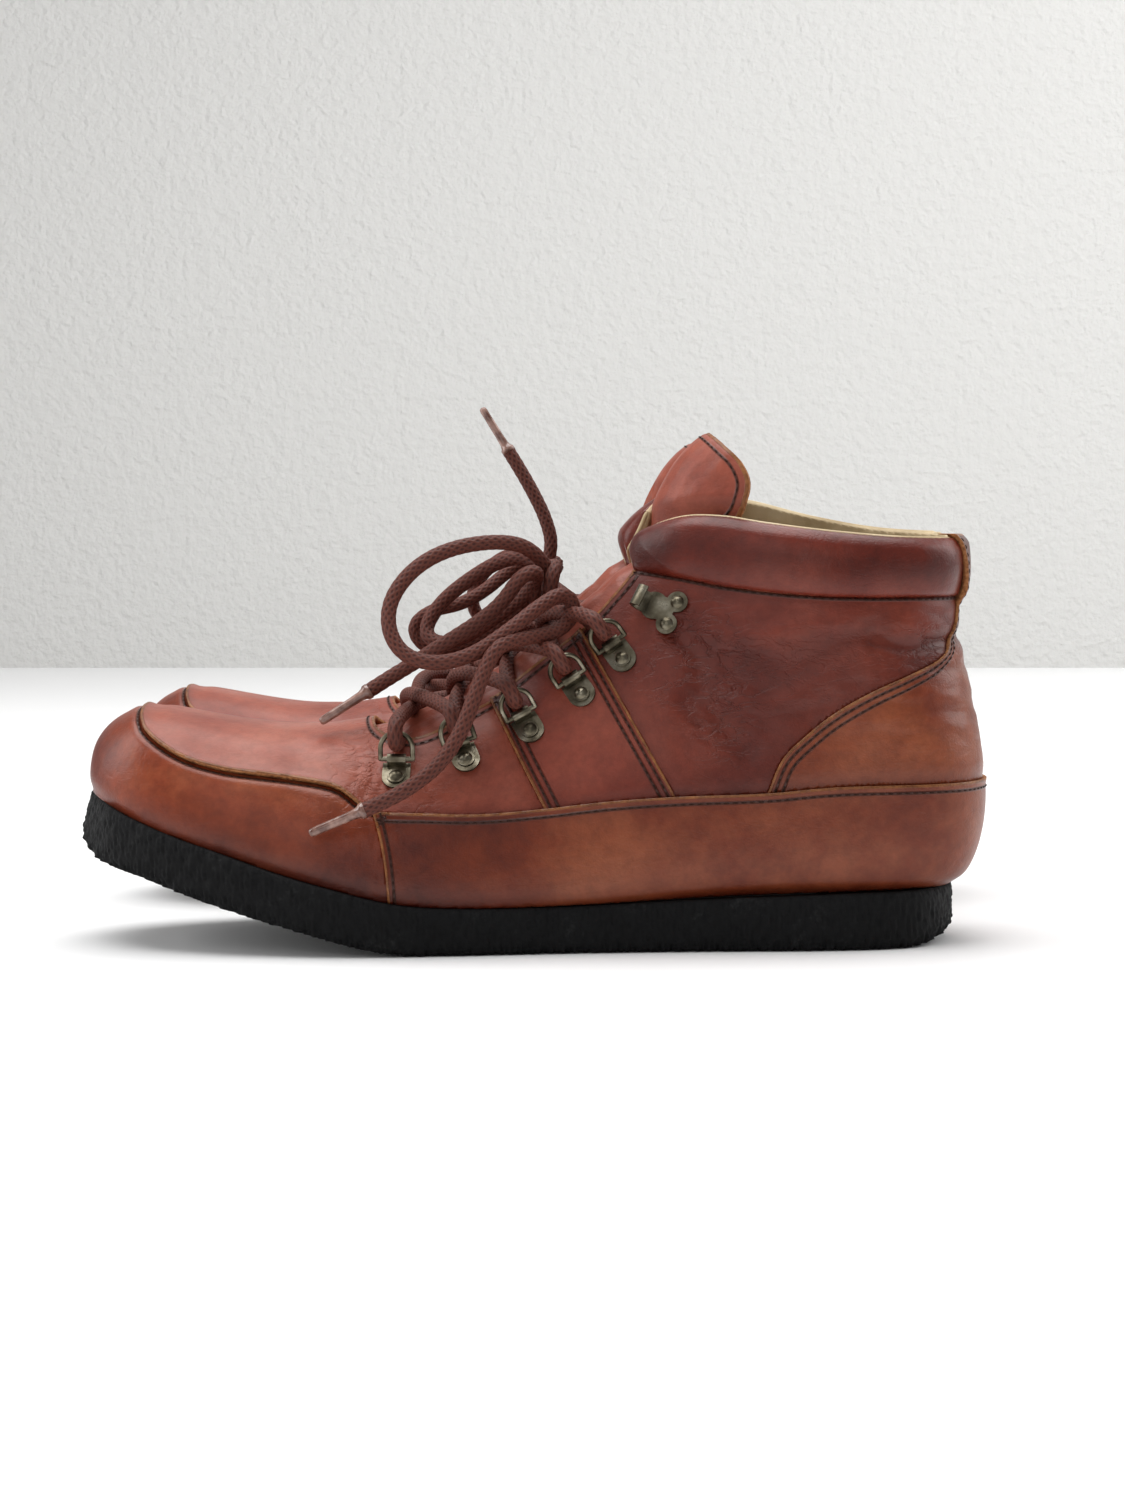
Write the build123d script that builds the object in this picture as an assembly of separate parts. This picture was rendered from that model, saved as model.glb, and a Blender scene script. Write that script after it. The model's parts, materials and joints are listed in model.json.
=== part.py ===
from build123d import *
import math
import os

os.makedirs("parts", exist_ok=True)

# Driving dimensions, in millimetres. One boot is drawn with its toe tip at X = 0, its heel
# towards +X, its outer side towards -Y and the ground at Z = 0. The pair is placed at the end.
BOOT_LENGTH = 301.7  # toe tip to the back of the heel
PAIR_SPACING = 114.0  # centre plane to centre plane
LEATHER = 2.0  # outer leather
LINING_OUTER = 3.6  # depth of the lining's outer face below the leather's face
LINING_INNER = 4.7
TONGUE_OUTER = 5.1  # depth of the tongue's face
TONGUE_INNER = 7.6
COLLAR_PUFF = 2.0  # how far the padded collar stands out
STIFFENER_OUTER = 2.2
STIFFENER_INNER = 3.1
INSOLE = 3.0
LACE_D = 5.0
AGLET_D = 3.0
AGLET_LENGTH = 18.0
WIRE_R = 0.8  # D-ring wire
RING_HALF_WIDTH = 5.2  # D-ring, to the wire's centre line
RING_REACH = 8.6  # barrel axis to the far side of the wire's arc
RING_LIFT = 50.0  # how far the lace lifts each ring off the leather, degrees
BARREL_R = 1.7
BARREL_LENGTH = 6.0
BARREL_CLEARANCE = 0.05
PLATE_WIDTH = 9.0
PLATE_LENGTH = 10.0
PLATE = 0.8
HOOK_SEAT = 0.7  # the hook's plate, above the leather at its middle
SEAT_GAP = 0.1  # air between a fitting's plate and the highest point of the leather under it
RIVET_SHANK_R = 1.1

# Girth sections of the last: heel-side point (x, z), instep-side point (x, z), outer and
# inner half-width, share of the girth on the heel side of its widest place, and the
# roundness of its heel-side and instep-side ends (2 is an ellipse, more is squarer).
GIRTHS = [
    ((4.6, 44), (4.6, 58), 9.0, 8.5, 0.40, 2.4, 2.2),
    ((6.0, 41), (6.0, 64.5), 16.0, 15.0, 0.38, 3.0, 2.3),
    ((9.5, 38), (9.5, 70), 22.0, 20.5, 0.34, 3.6, 2.4),
    ((14.5, 35), (14.5, 74), 27.5, 25.5, 0.30, 4.0, 2.5),
    ((22, 32), (22, 76.8), 33.5, 31.0, 0.28, 4.0, 2.6),
    ((35, 27), (35, 76), 40.0, 37.0, 0.26, 4.0, 2.6),
    ((50, 22), (50, 73.2), 44.5, 41.5, 0.26, 4.0, 2.5),
    ((67, 17), (67, 71), 47.5, 44.0, 0.26, 4.0, 2.4),
    ((85, 11), (85, 71.5), 49.5, 45.0, 0.24, 4.0, 2.1),
    ((104, 6), (102, 74), 49.5, 44.5, 0.24, 4.0, 1.95),
    ((126, 4), (117, 79.5), 48.0, 42.5, 0.23, 3.8, 1.85),
    ((152, 5), (131.5, 87), 45.0, 39.5, 0.23, 3.5, 1.8),
    ((182, 6), (145.5, 96), 42.0, 37.0, 0.25, 3.2, 1.8),
    ((213, 7.5), (157.5, 105.5), 40.0, 36.0, 0.28, 3.0, 1.85),
    ((246, 8.5), (167.5, 114.5), 38.5, 36.0, 0.30, 3.0, 1.9),
    ((274, 11), (175.5, 122.5), 37.5, 36.0, 0.32, 3.0, 2.0),
    ((293, 20), (181.5, 129.5), 36.5, 35.5, 0.34, 2.7, 2.0),
    ((300, 34), (185.0, 135.5), 36.0, 35.5, 0.36, 2.5, 2.0),
    ((301.7, 50), (187.5, 141.5), 35.5, 35.0, 0.38, 2.3, 2.0),
    ((299.5, 68), (190, 148), 34.5, 34.5, 0.40, 2.2, 2.0),
    ((295.5, 88), (193, 154), 33.5, 34.0, 0.42, 2.1, 2.0),
    ((292.5, 104), (196.5, 160), 32.5, 33.0, 0.43, 2.1, 2.0),
    ((293.5, 119), (201.5, 165.5), 32.5, 33.0, 0.44, 2.1, 2.0),
    ((294, 134), (207.5, 170), 32.0, 32.5, 0.45, 2.1, 2.0),
    ((292, 146), (213, 173), 31.5, 32.0, 0.45, 2.1, 2.0),
]
GIRTH_POINTS = 28
GIRTH_FINE = 120  # samples round half a girth, for spacing its points evenly

# Side-view lines, as (x, z). Each seam is where two panels of leather meet.
FEATHER = [(-8, 55), (4, 50), (17, 44), (33, 38), (52, 32), (70, 26), (86, 21.5), (107, 16.4),
           (130, 14.6), (165, 14.8), (203, 16.4), (238, 17.5), (266, 18.2), (312, 18.2)]
APRON_SEAM = [(21.6, 84), (22.7, 76.3), (26, 70), (37.6, 62.8), (51, 58.8), (64, 57),
              (79, 55.3), (90, 52.2), (100.5, 45.8)]
BAND_TOP = [(100.5, 45.8), (118, 44.7), (135, 44.4), (155.5, 46), (176, 48.3), (197.6, 49.8),
            (227, 50.9), (255, 53), (312, 53.6)]
BAND_FRONT = [(100.5, 45.8), (103.2, 36), (105, 25), (106.5, 4)]
SEAM_A = [(75, 199), (211.5, -60)]
SEAM_B = [(113.5, 199), (259.6, -60)]
SEAM_C = [(227.4, 50.9), (232, 61.6), (240, 69.6), (249, 76.6), (260.7, 83.3), (273, 88.6),
          (284, 93.7), (289.3, 101.5), (290.6, 110), (291.3, 119), (291, 128), (288, 140)]
THROAT = [(97.5, 90), (98, 71), (102, 68.6), (112, 67.6), (120, 70.2), (137.6, 80),
          (154, 92.5), (167.6, 103), (178, 114), (184.5, 122.5)]
COLLAR_SEAM = [(184.5, 122.5), (199.4, 120), (215.5, 117), (238.4, 114.6), (262, 113.8),
               (312, 113.8)]
COLLAR_TOP_OUTER = [(184.5, 122.5), (183, 129), (187, 135.6), (199.4, 140), (213, 140),
                    (227, 137.8), (250, 134.8), (275, 133), (312, 133)]
COLLAR_TOP_INNER = [(184.5, 122.5), (181.5, 131), (185, 139), (192, 145.5), (201, 149),
                    (224, 145.5), (248, 139.6), (275, 135.4), (312, 134.4)]
TONGUE_REAR = [(96, 56), (130, 69), (160, 91), (185, 116), (205, 131), (215.5, 139),
               (219.5, 145), (220.5, 152), (217.4, 159.4), (212.5, 165), (202, 178)]

# Sole: plan half-widths (x, outer, inner) and its underside
SOLE_LENGTH = 292.0
SOLE_PLAN = [(10, 25, 23), (25, 37, 34), (50, 47, 44), (80, 52, 48), (104, 52, 47),
             (130, 49, 43.5), (165, 43.5, 38), (203, 40, 36), (240, 38.5, 35.5), (268, 34, 33),
             (284, 23, 22.5)]
SOLE_UNDERSIDE = [(-1, 37.5), (3, 31), (11, 27), (24, 23.5), (49, 15.5), (75, 8), (92, 3.4), (103, 0.9)]
FLAT_FROM = 112.0
FLAT_TO = 276.0

# Lace fittings, as (x, z) on the leather and the way the ring points in the side view
CLIPS = [((108, 60), (0.05, 1)), ((128.4, 65.4), (-0.42, 0.9)), ((148.4, 74.6), (-0.55, 0.83)),
         ((164.8, 86.2), (-0.58, 0.81)), ((178, 97.5), (-0.6, 0.8))]
HOOK = ((194, 109.5), (-0.85, 0.35))

# Places in the lacing where two strands cross, on the middle of the tongue, and the knot
CROSSINGS = [(112, 77.3), (126.5, 84.5), (141.5, 94), (154.5, 103.8)]
CROSS_UP = (-0.55, 0.83)
OVER_RING = [(5.0, 3.0), (9.4, 4.6), (12.9, 0.6)]  # along and off the ring from its axis
UNDER_RING = (4.6, -4.8)
UNDER_STRAND = 0.2
OVER_STRAND = 5.8
KNOT = (158, -1, 118)
KNOT_R = 8.5

# Free halves of each lace: from the knot, round a bow loop, back and out to the aglet
LEFT_END_A = [(156, -4, 123), (152, -9, 129), (142, -15, 132), (126, -22, 130), (114, -27, 124),
              (106, -32, 114), (105, -36, 104), (110, -39, 95.5), (120, -41, 92.5),
              (132, -40, 95), (144, -35, 103), (154, -27, 111), (162, -20, 115.5),
              (166, -18, 109), (160, -22, 102), (150, -32, 101), (140.5, -39, 99),
              (136, -43, 90), (132.5, -47, 80), (129, -49, 71), (123, -52.5, 62),
              (115, -55.5, 55.5), (106.3, -56.5, 50.5), (98, -56.5, 47)]
LEFT_END_B = [(156, 3, 123), (150, 7, 127), (140, 12, 125), (130, 15, 119), (120, 16, 111),
              (114, 14, 101), (120, 10, 96.5), (130, 6, 100), (140, 1, 107), (150, -5, 114.5),
              (154, -13, 122), (148, -19, 121), (142, -20, 112), (134.8, -20, 106),
              (127, -19, 101), (119, -17, 96), (112, -15.5, 91.5), (104, -15, 86.7),
              (97, -16.5, 82.2)]
RIGHT_END_A = [(156, -4, 123), (148, -8, 125), (140, -12, 119), (133, -16, 113),
               (124, -19, 108), (113, -19, 106), (106, -18, 100), (110, -18, 92.5),
               (120, -17, 91), (132, -14, 96), (144, -9, 105), (153, -6, 116), (158, -6, 129),
               (155, -5, 140), (150.5, -4, 149), (146, -3, 157), (141, -2, 165)]
RIGHT_END_B = [(156, 3, 123), (150, 8, 127), (140, 14, 126), (131, 20, 119), (126, 25, 109),
               (130, 30, 100), (141, 32, 97), (152, 30, 103), (160, 24, 112), (164, 20, 104),
               (156, 26, 97), (147, 35, 92), (140, 41, 84), (134, 46, 75), (127, 49, 66),
               (118, 53, 60), (109, 55, 57)]


OUTLINES = {}


def smooth(points):
    """A curve through side-view points."""
    return Edge.make_spline([Vector(x, 0, z) for x, z in points])


def region(*lines):
    """A side-view face bounded by curves and straight closing lines, as lists of points."""
    edges = []
    start = None
    last = None
    for line in lines:
        first = Vector(line[0][0], 0, line[0][1])
        if last is None:
            start = first
        elif (first - last).length > 1e-6:
            edges.append(Edge.make_line(last, first))
        if len(line) > 2:
            edges.append(smooth(line))
        elif len(line) == 2:
            edges.append(Edge.make_line(first, Vector(line[1][0], 0, line[1][1])))
        last = Vector(line[-1][0], 0, line[-1][1])
    if (last - start).length > 1e-6:
        edges.append(Edge.make_line(last, start))
    return Face(Wire(edges))


def prism(face, side=0):
    """A side-view face extruded through the boot: both sides, or the outer (-1) or inner (1)."""
    reach = 80.0
    if side == 0:
        return Pos(0, -reach, 0) * extrude(face, 2 * reach, Vector(0, 1, 0))
    return extrude(face, reach, Vector(0, side, 0))


def girth_outline(section, side):
    """Half a girth section, from the instep to the heel side, as fine points and distances."""
    heel, instep, outer, inner, share, heel_round, instep_round = section
    low = Vector(heel[0], 0, heel[1])
    high = Vector(instep[0], 0, instep[1])
    length = (high - low).length
    along = (high - low).normalized()
    width = outer if side < 0 else inner
    points = []
    distances = [0.0]
    for step in range(GIRTH_FINE + 1):
        turn = math.pi * step / GIRTH_FINE
        c, s = math.cos(turn), max(math.sin(turn), 0)
        power = instep_round if c >= 0 else heel_round
        half = (1 - share) * length if c >= 0 else share * length
        level = share * length + math.copysign(half * abs(c) ** (2 / power), c)
        points.append(low + along * level + Vector(0, side * width * s ** (2 / power), 0))
        if step:
            distances.append(distances[-1] + (points[-1] - points[-2]).length)
    return points, distances


def girth_point(row, part):
    """A point of a girth: part runs from 0 at the instep, down the outer side, to 1."""
    part = part % 1
    side = -1 if part < 0.5 else 1
    points, distances = OUTLINES[row, side]
    goal = distances[-1] * (part * 2 if side < 0 else 2 - part * 2)
    after = next(i for i, d in enumerate(distances) if d >= goal and i > 0)
    span = distances[after] - distances[after - 1]
    share = (goal - distances[after - 1]) / span
    return points[after - 1] + (points[after] - points[after - 1]) * share


def last_surface_point(row, column, depth):
    """A point of the last, set in by a depth along the surface's normal."""
    rows = len(GIRTHS)
    part = column / GIRTH_POINTS
    here = girth_point(row, part)
    ahead = girth_point(row, part + 0.01)
    behind = girth_point(row, part - 0.01)
    above = girth_point(min(row + 1, rows - 1), part)
    below = girth_point(max(row - 1, 0), part)
    normal = (ahead - behind).cross(above - below).normalized()
    middle = (girth_point(row, 0) + girth_point(row, 0.5)) / 2
    if normal.dot(here - middle) < 0:
        normal = -normal
    if row == 0:
        flat = Vector(0, normal.Y, normal.Z).normalized()
        return here + Vector(max(depth, 0), 0, 0) - flat * depth * 0.5
    if row == rows - 1:
        along = Vector(GIRTHS[row][1][0] - GIRTHS[row][0][0], 0,
                       GIRTHS[row][1][1] - GIRTHS[row][0][1]).normalized()
        across = Vector(0, 1, 0)
        flat = (along * normal.dot(along) + across * normal.dot(across)).normalized()
        return here - flat * depth
    return here - normal * depth


def last(depth):
    """The last's closed solid, set in by a depth, or stood out by a negative one."""
    knots = [i / GIRTH_POINTS for i in range(GIRTH_POINTS + 1)]
    wires = []
    for row in range(len(GIRTHS)):
        points = [last_surface_point(row, column, depth) for column in range(GIRTH_POINTS)]
        wires.append(Wire([Edge.make_spline(points, periodic=True, parameters=knots)]))
    return Solid.make_loft(wires)


def surface_at(x, z, side):
    """Point and outward normal of the leather at a side-view place."""
    hits = LAST_OUTER.find_intersection_points(Axis((x, side * 90, z), (0, -side, 0)))
    point, normal = max(hits, key=lambda hit: hit[0].Y * side)
    if normal.Y * side < 0:
        normal = -normal
    return point, normal


def fitting_frame(place, way, side):
    """Origin on the leather, the way the fitting points, and the outward normal."""
    point, normal = surface_at(place[0], place[1], side)
    drop = -(normal.X * way[0] + normal.Z * way[1]) / normal.Y
    along = Vector(way[0], drop, way[1]).normalized()
    return point, along, normal


def place(shape, origin, along, normal):
    """Put a shape drawn with +Y along the fitting and +Z outwards onto the leather."""
    across = along.cross(normal)
    return Plane(origin=origin, x_dir=across, z_dir=normal).location * shape


def rod(start, end, radius):
    """A round bar between two points."""
    start, end = Vector(start), Vector(end)
    return Solid.make_cylinder(radius, (end - start).length, Plane(start, z_dir=end - start))


def clip_plate():
    """A ring clip's plate and rolled barrel, with the barrel's axis at the origin."""
    seat = -AXIS_HEIGHT + SEAT_GAP
    radius = PLATE_WIDTH / 2
    straight = Pos(0, -(PLATE_LENGTH - radius) / 2 - 0.2, seat + PLATE / 2) * Box(
        PLATE_WIDTH, PLATE_LENGTH - radius, PLATE)
    end = Pos(0, -(PLATE_LENGTH - radius) - 0.2, seat) * Cylinder(
        radius, PLATE, align=(Align.CENTER, Align.CENTER, Align.MIN))
    crown = Pos(0, -5.6, seat + PLATE) * Cylinder(
        2.9, 0.5, align=(Align.CENTER, Align.CENTER, Align.MIN))
    neck = Pos(0, -0.9, -0.9) * Box(BARREL_LENGTH, 1.8, 1.6)
    barrel = Rot(0, 90, 0) * Cylinder(BARREL_R, BARREL_LENGTH)
    bore = Rot(0, 90, 0) * Cylinder(WIRE_R + BARREL_CLEARANCE, BARREL_LENGTH + 2)
    return straight + end + crown + neck + barrel - bore


def d_ring():
    """A D-ring with its straight bar on the X axis and its arc towards +Y."""
    half = RING_HALF_WIDTH
    leg = RING_REACH - half
    bar = rod((-half, 0, 0), (half, 0, 0), WIRE_R)
    legs = rod((-half, 0, 0), (-half, leg, 0), WIRE_R) + rod((half, 0, 0), (half, leg, 0), WIRE_R)
    corners = Pos(-half, 0, 0) * Sphere(WIRE_R) + Pos(half, 0, 0) * Sphere(WIRE_R)
    hoop = Pos(0, leg, 0) * Torus(half, WIRE_R)
    arc = hoop & (Pos(0, leg + 10, 0) * Box(30, 20, 10))
    return bar + legs + corners + arc


def hook_plate():
    """A three-lobed speed hook: plate, and a curled lip that stands over it."""
    seat = HOOK_SEAT
    plate = Pos(0, 3, seat + PLATE / 2) * Cylinder(4.6, PLATE)
    for x in (-4.0, 4.0):
        plate += Pos(x, -3.6, seat + PLATE / 2) * Cylinder(3.5, PLATE)
    plate += Pos(0, -1.0, seat + PLATE / 2) * Box(8.0, 6.0, PLATE)
    outer = Rot(0, 90, 0) * Cylinder(4.2, 7.0)
    inner = Rot(0, 90, 0) * Cylinder(3.3, 9.0)
    curl = (outer - inner) & (Pos(0, 3, 0) * Box(10, 6.6, 12))
    return plate + Pos(0, 5.2, seat + 4.2) * curl


def rivet(head_low, shank_length):
    """A domed rivet: its head's underside at head_low, its shank going down."""
    dome = Pos(0, 0, head_low - 1.6) * Sphere(2.72)
    head = dome & (Pos(0, 0, head_low + 2) * Box(8, 8, 4))
    shank = Pos(0, 0, head_low + 0.2) * Cylinder(
        RIVET_SHANK_R, shank_length, align=(Align.CENTER, Align.CENTER, Align.MAX))
    return head + shank


def route_radii(points):
    """Corner radii of a route: each as large as its two runs allow."""
    radii = []
    for before, here, after in zip(points, points[1:], points[2:]):
        run_in = Vector(here) - Vector(before)
        run_out = Vector(after) - Vector(here)
        turn = math.radians(run_in.get_angle(run_out))
        radii.append(0.45 * min(run_in.length, run_out.length) / math.tan(turn / 2))
    return radii


def lace_tube(name, points):
    """A lace along a route of straight runs and tangent arcs."""
    radii = route_radii(points)
    path = FilletPolyline(*points, radius=radii)
    wire = path.wire() if hasattr(path, "wire") else path
    start = wire @ 0
    tube = sweep(Plane(start, z_dir=wire % 0) * Circle(LACE_D / 2), path=wire)
    ratio = tube.volume / (math.pi * (LACE_D / 2) ** 2 * wire.length)
    print(name, "length", round(wire.length, 1), "volume ratio", round(ratio, 4),
          "smallest radius", round(min(radii), 1))
    return tube


def aglet(points):
    """The plastic tip on a lace's end, in line with its last run."""
    tip = Vector(points[-1])
    way = (tip - Vector(points[-2])).normalized()
    return rod(tip, tip + way * AGLET_LENGTH, AGLET_D / 2)


def ring_pass(frame, into):
    """Route points through one ring; into is True where the lace goes under it last."""
    origin, along, normal = frame
    lift = math.radians(RING_LIFT)
    reach = along * math.cos(lift) + normal * math.sin(lift)
    up = normal * math.cos(lift) - along * math.sin(lift)
    axis_point = origin + normal * AXIS_HEIGHT
    over = [axis_point + reach * out + up * rise for out, rise in OVER_RING]
    under = axis_point + reach * UNDER_RING[0] + up * UNDER_RING[1]
    return over[::-1] + [under] if into else [under] + over


AXIS_HEIGHT = SEAT_GAP + PLATE + BARREL_R + 0.1
for row_number, girth in enumerate(GIRTHS):
    for half_side in (-1, 1):
        OUTLINES[row_number, half_side] = girth_outline(girth, half_side)
LAST_OUTER = last(0)
UPPER_SPACE = prism(region([(-8, 200)], FEATHER, [(312, 200)]))
shell = LAST_OUTER - last(LEATHER)
shell = shell & UPPER_SPACE

# Side-view regions: each panel is the shell inside its own region and outside the others
toe_region = region(APRON_SEAM, BAND_FRONT, [(-12, 4)], [(-12, 84)])
band_region = region(BAND_TOP, [(312, 4)], BAND_FRONT[::-1])
throat_region = region(THROAT, COLLAR_SEAM[:1], [(150, 200)], [(97, 200)])
ahead_of_a = region(SEAM_A, [(0, -60)], [(0, 199)])
ahead_of_b = region(SEAM_B, [(0, -60)], [(0, 199)])
ahead_of_c = region(SEAM_C, [(288, 200)], [(0, 200)], [(0, -20)], [(227.4, -20)])
above_collar_seam = region(COLLAR_SEAM, [(312, 200)], [(184.5, 200)])
below_strip_top = region([(200, -20)], [(312, -20)], [(312, 134.5)], [(200, 134.5)])
collar_outer_region = region(COLLAR_SEAM, COLLAR_TOP_OUTER[::-1])
collar_inner_region = region(COLLAR_SEAM, COLLAR_TOP_INNER[::-1])
tongue_region = region(TONGUE_REAR, [(150, 178)], [(80, 95)])
lining_region_outer = region(FEATHER, COLLAR_TOP_OUTER[::-1], THROAT[::-1], [(-8, 95)])
lining_region_inner = region(FEATHER, COLLAR_TOP_INNER[::-1], THROAT[::-1], [(-8, 95)])


def halves(solid):
    """A solid split at the boot's centre plane."""
    whole = Face(Wire.make_polygon([(-20, 0, -20), (320, 0, -20), (320, 0, 200), (-20, 0, 200)]))
    return solid & prism(whole, -1), solid & prism(whole, 1)


def both_sides(solid, outer_face, inner_face=None):
    """A solid cut to one side-view region on its outer side and another on its inner side."""
    outer = solid & prism(outer_face, -1)
    inner = solid & prism(inner_face or outer_face, 1)
    return outer, inner


def largest(shape):
    """The largest solid of a shape."""
    return max(shape.solids(), key=lambda solid: solid.volume)


def group(*shapes):
    """Separate solids kept together in one node."""
    solids = []
    for shape in shapes:
        solids.extend(shape.solids())
    return Compound(children=solids)


def outsole():
    """The crepe wedge sole."""
    outer = [Vector(x, -out, 0) for x, out, _ in SOLE_PLAN]
    inner = [Vector(x, into, 0) for x, _, into in SOLE_PLAN]
    rim = [Vector(0, 0, 0)] + outer + [Vector(SOLE_LENGTH, 0, 0)] + inner[::-1]
    plan = Face(Wire([Edge.make_spline(rim, periodic=True)]))
    block = extrude(plan, 70, Vector(0, 0, 1))
    underside = smooth(SOLE_UNDERSIDE + [(FLAT_FROM, 0)])
    ground = Edge.make_line((FLAT_FROM, 0, 0), (FLAT_TO, 0, 0))
    rise = smooth([(FLAT_TO, 0), (284, 1.2), (292, 4.2), (300, 8.5)])
    top = smooth(FEATHER)
    front = Edge.make_line(top @ 0, underside @ 0)
    back = Edge.make_line(rise @ 1, top @ 1)
    profile = Face(Wire([front, underside, ground, rise, back, top]))
    toe_slope = region([(-12, 34)], [(-0.6, 35)], [(4.2, 52)], [(-12, 60)])
    return largest((block & prism(profile)) - prism(toe_slope))


def collars():
    """The padded collar's leather and, sealed inside it, its padding."""
    skin = last(-COLLAR_PUFF) - last(-0.4)
    foam = last(-0.3) - last(LINING_OUTER - 0.1)
    behind_strip = prism(region(SEAM_C, [(312, 140)], [(312, 50.9)]))
    skin_sides = both_sides(skin, collar_outer_region, collar_inner_region)
    foam_sides = both_sides(foam, collar_outer_region, collar_inner_region)
    skin_sides = [solid - behind_strip for solid in skin_sides]
    foam_sides = [solid - behind_strip for solid in foam_sides]
    return group(*map(largest, skin_sides)), group(*map(largest, foam_sides))


def build_boot():
    """Every node of the left boot, and the frames of its rings."""
    nodes = {}
    nodes["outsole"] = outsole()
    lining_shell = last(LINING_OUTER) - last(LINING_INNER)
    lining_sides = both_sides(lining_shell, lining_region_outer, lining_region_inner)
    nodes["lining"] = largest(lining_sides[0] + lining_sides[1])
    core = last(LINING_INNER + 0.2)
    board_top = [(x, z + INSOLE) for x, z in FEATHER]
    nodes["insole"] = largest(core & prism(region(FEATHER, board_top[::-1])))
    between = (last(STIFFENER_OUTER) - last(STIFFENER_INNER)) & UPPER_SPACE
    toe_puff = between & prism(region([(-5, 0)], [(62, 0)], [(44, 90)], [(-5, 90)]))
    heel_box = between & prism(region([(238, 0)], [(312, 0)], [(312, 96)], [(264, 84)]))
    nodes["stiffeners"] = group(largest(toe_puff), largest(heel_box))
    nodes["toe_wall"] = largest(shell & prism(toe_region))
    nodes["foxing_band"] = largest(shell & prism(band_region))
    wall = shell - prism(toe_region) - prism(band_region) - prism(throat_region)
    front = wall & prism(ahead_of_b)
    nodes["vamp"] = largest(front & prism(ahead_of_a))
    middle = front - prism(ahead_of_a)
    nodes["mid_quarters"] = group(*map(largest, halves(middle)))
    behind = wall - prism(ahead_of_b)
    ankle = (behind & prism(ahead_of_c)) - prism(above_collar_seam)
    nodes["ankle_quarters"] = group(*map(largest, halves(ankle)))
    counter = behind - prism(ahead_of_c)
    nodes["heel_counter"] = largest(counter & prism(below_strip_top))
    nodes["collar"], nodes["collar_padding"] = collars()
    tongue_shell = last(TONGUE_OUTER) - last(TONGUE_INNER)
    nodes["tongue"] = largest(tongue_shell & prism(tongue_region))

    clips, hooks, rivets, rings = [], [], [], {}
    for side, word in ((-1, "outer"), (1, "inner")):
        for number, (spot, way) in enumerate(CLIPS, start=1):
            origin, along, normal = fitting_frame(spot, way, side)
            axis_point = origin + normal * AXIS_HEIGHT
            clips.append(place(clip_plate(), axis_point, along, normal))
            pin = place(Pos(0, -5.6, 0) * rivet(0.5 + PLATE + SEAT_GAP - AXIS_HEIGHT, 3.8),
                        axis_point, along, normal)
            rivets.append(pin)
            lifted = Rot(RING_LIFT, 0, 0) * d_ring()
            rings[f"ring_{word}_{number}"] = (place(lifted, axis_point, along, normal),
                                              axis_point, along.cross(normal),
                                              (origin, along, normal))
        origin, along, normal = fitting_frame(HOOK[0], HOOK[1], side)
        hooks.append(place(hook_plate(), origin, along, normal))
        for x in (-4.0, 4.0):
            rivets.append(place(Pos(x, -3.6, 0) * rivet(HOOK_SEAT + PLATE, 4.0),
                                origin, along, normal))
    nodes["ring_clips"] = group(*clips)
    nodes["hooks"] = group(*hooks)
    nodes["rivets"] = group(*rivets)
    return nodes, rings


def lacing_route(rings):
    """The held lace: knot, down through the rings in a zigzag, across row one and back up."""
    up = Vector(CROSS_UP[0], 0, CROSS_UP[1]).normalized()
    count = len(CLIPS)
    route = []
    for side in ("outer", "inner"):
        half = []
        for number in range(count, 0, -1):
            word = side if (count - number) % 2 == 0 else ("inner" if side == "outer" else "outer")
            frame = rings[f"ring_{word}_{number}"][3]
            if number < count:
                x, z = CROSSINGS[number - 1]
                over = (number % 2 == 0) == (side == "outer")
                lift = OVER_STRAND if over else UNDER_STRAND
                half.append(Vector(x, 0, z) + up * lift)
            half.extend(ring_pass(frame, into=number == 1))
        route.append(half)
    return route[0] + route[1][::-1]


nodes, rings = build_boot()
held = lacing_route(rings)
knot = Pos(*KNOT) * Sphere(KNOT_R)
start_a = Vector(*KNOT) + Vector(-1, -5, -3)
start_b = Vector(*KNOT) + Vector(-1, 5, -3)
lace_run = lace_tube("lacing", [start_a] + held + [start_b])
nodes["lacing"] = lace_run + knot

to_row = Pos(-BOOT_LENGTH / 2, 0, 0)
left = Pos(0, -PAIR_SPACING / 2, 0) * to_row
right = Pos(0, PAIR_SPACING / 2, 0) * to_row


def save(name, shape, location, mirrored):
    """Write one node, placed in the pair."""
    if mirrored:
        shape = mirror(shape, about=Plane.XZ)
    export_step(location * shape, f"parts/{name}.step")


for boot, location, mirrored, ends in (("left", left, False, (LEFT_END_A, LEFT_END_B)),
                                       ("right", right, True, (RIGHT_END_A, RIGHT_END_B))):
    for name, shape in nodes.items():
        save(f"{boot}_{name}", shape, location, mirrored)
    for name, (shape, centre, axis, _) in rings.items():
        save(f"{boot}_{name}", shape, location, mirrored)
        flip = -1 if mirrored else 1
        spot = location * Pos(centre.X, centre.Y * flip, centre.Z)
        turn = Vector(axis.X * flip, axis.Y, axis.Z * flip)
        print("hinge", f"{boot}_{name}", [round(v / 1000, 6) for v in tuple(spot.position)],
              [round(v, 6) for v in tuple(turn)])
    tips = []
    for letter, points in zip("ab", ends):
        tube = lace_tube(f"{boot} end {letter}", points)
        save(f"{boot}_lace_end_{letter}", tube, location, False)
        tips.append(aglet(points))
    save(f"{boot}_aglets", group(*tips), location, False)
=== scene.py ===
import json
import math

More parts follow.
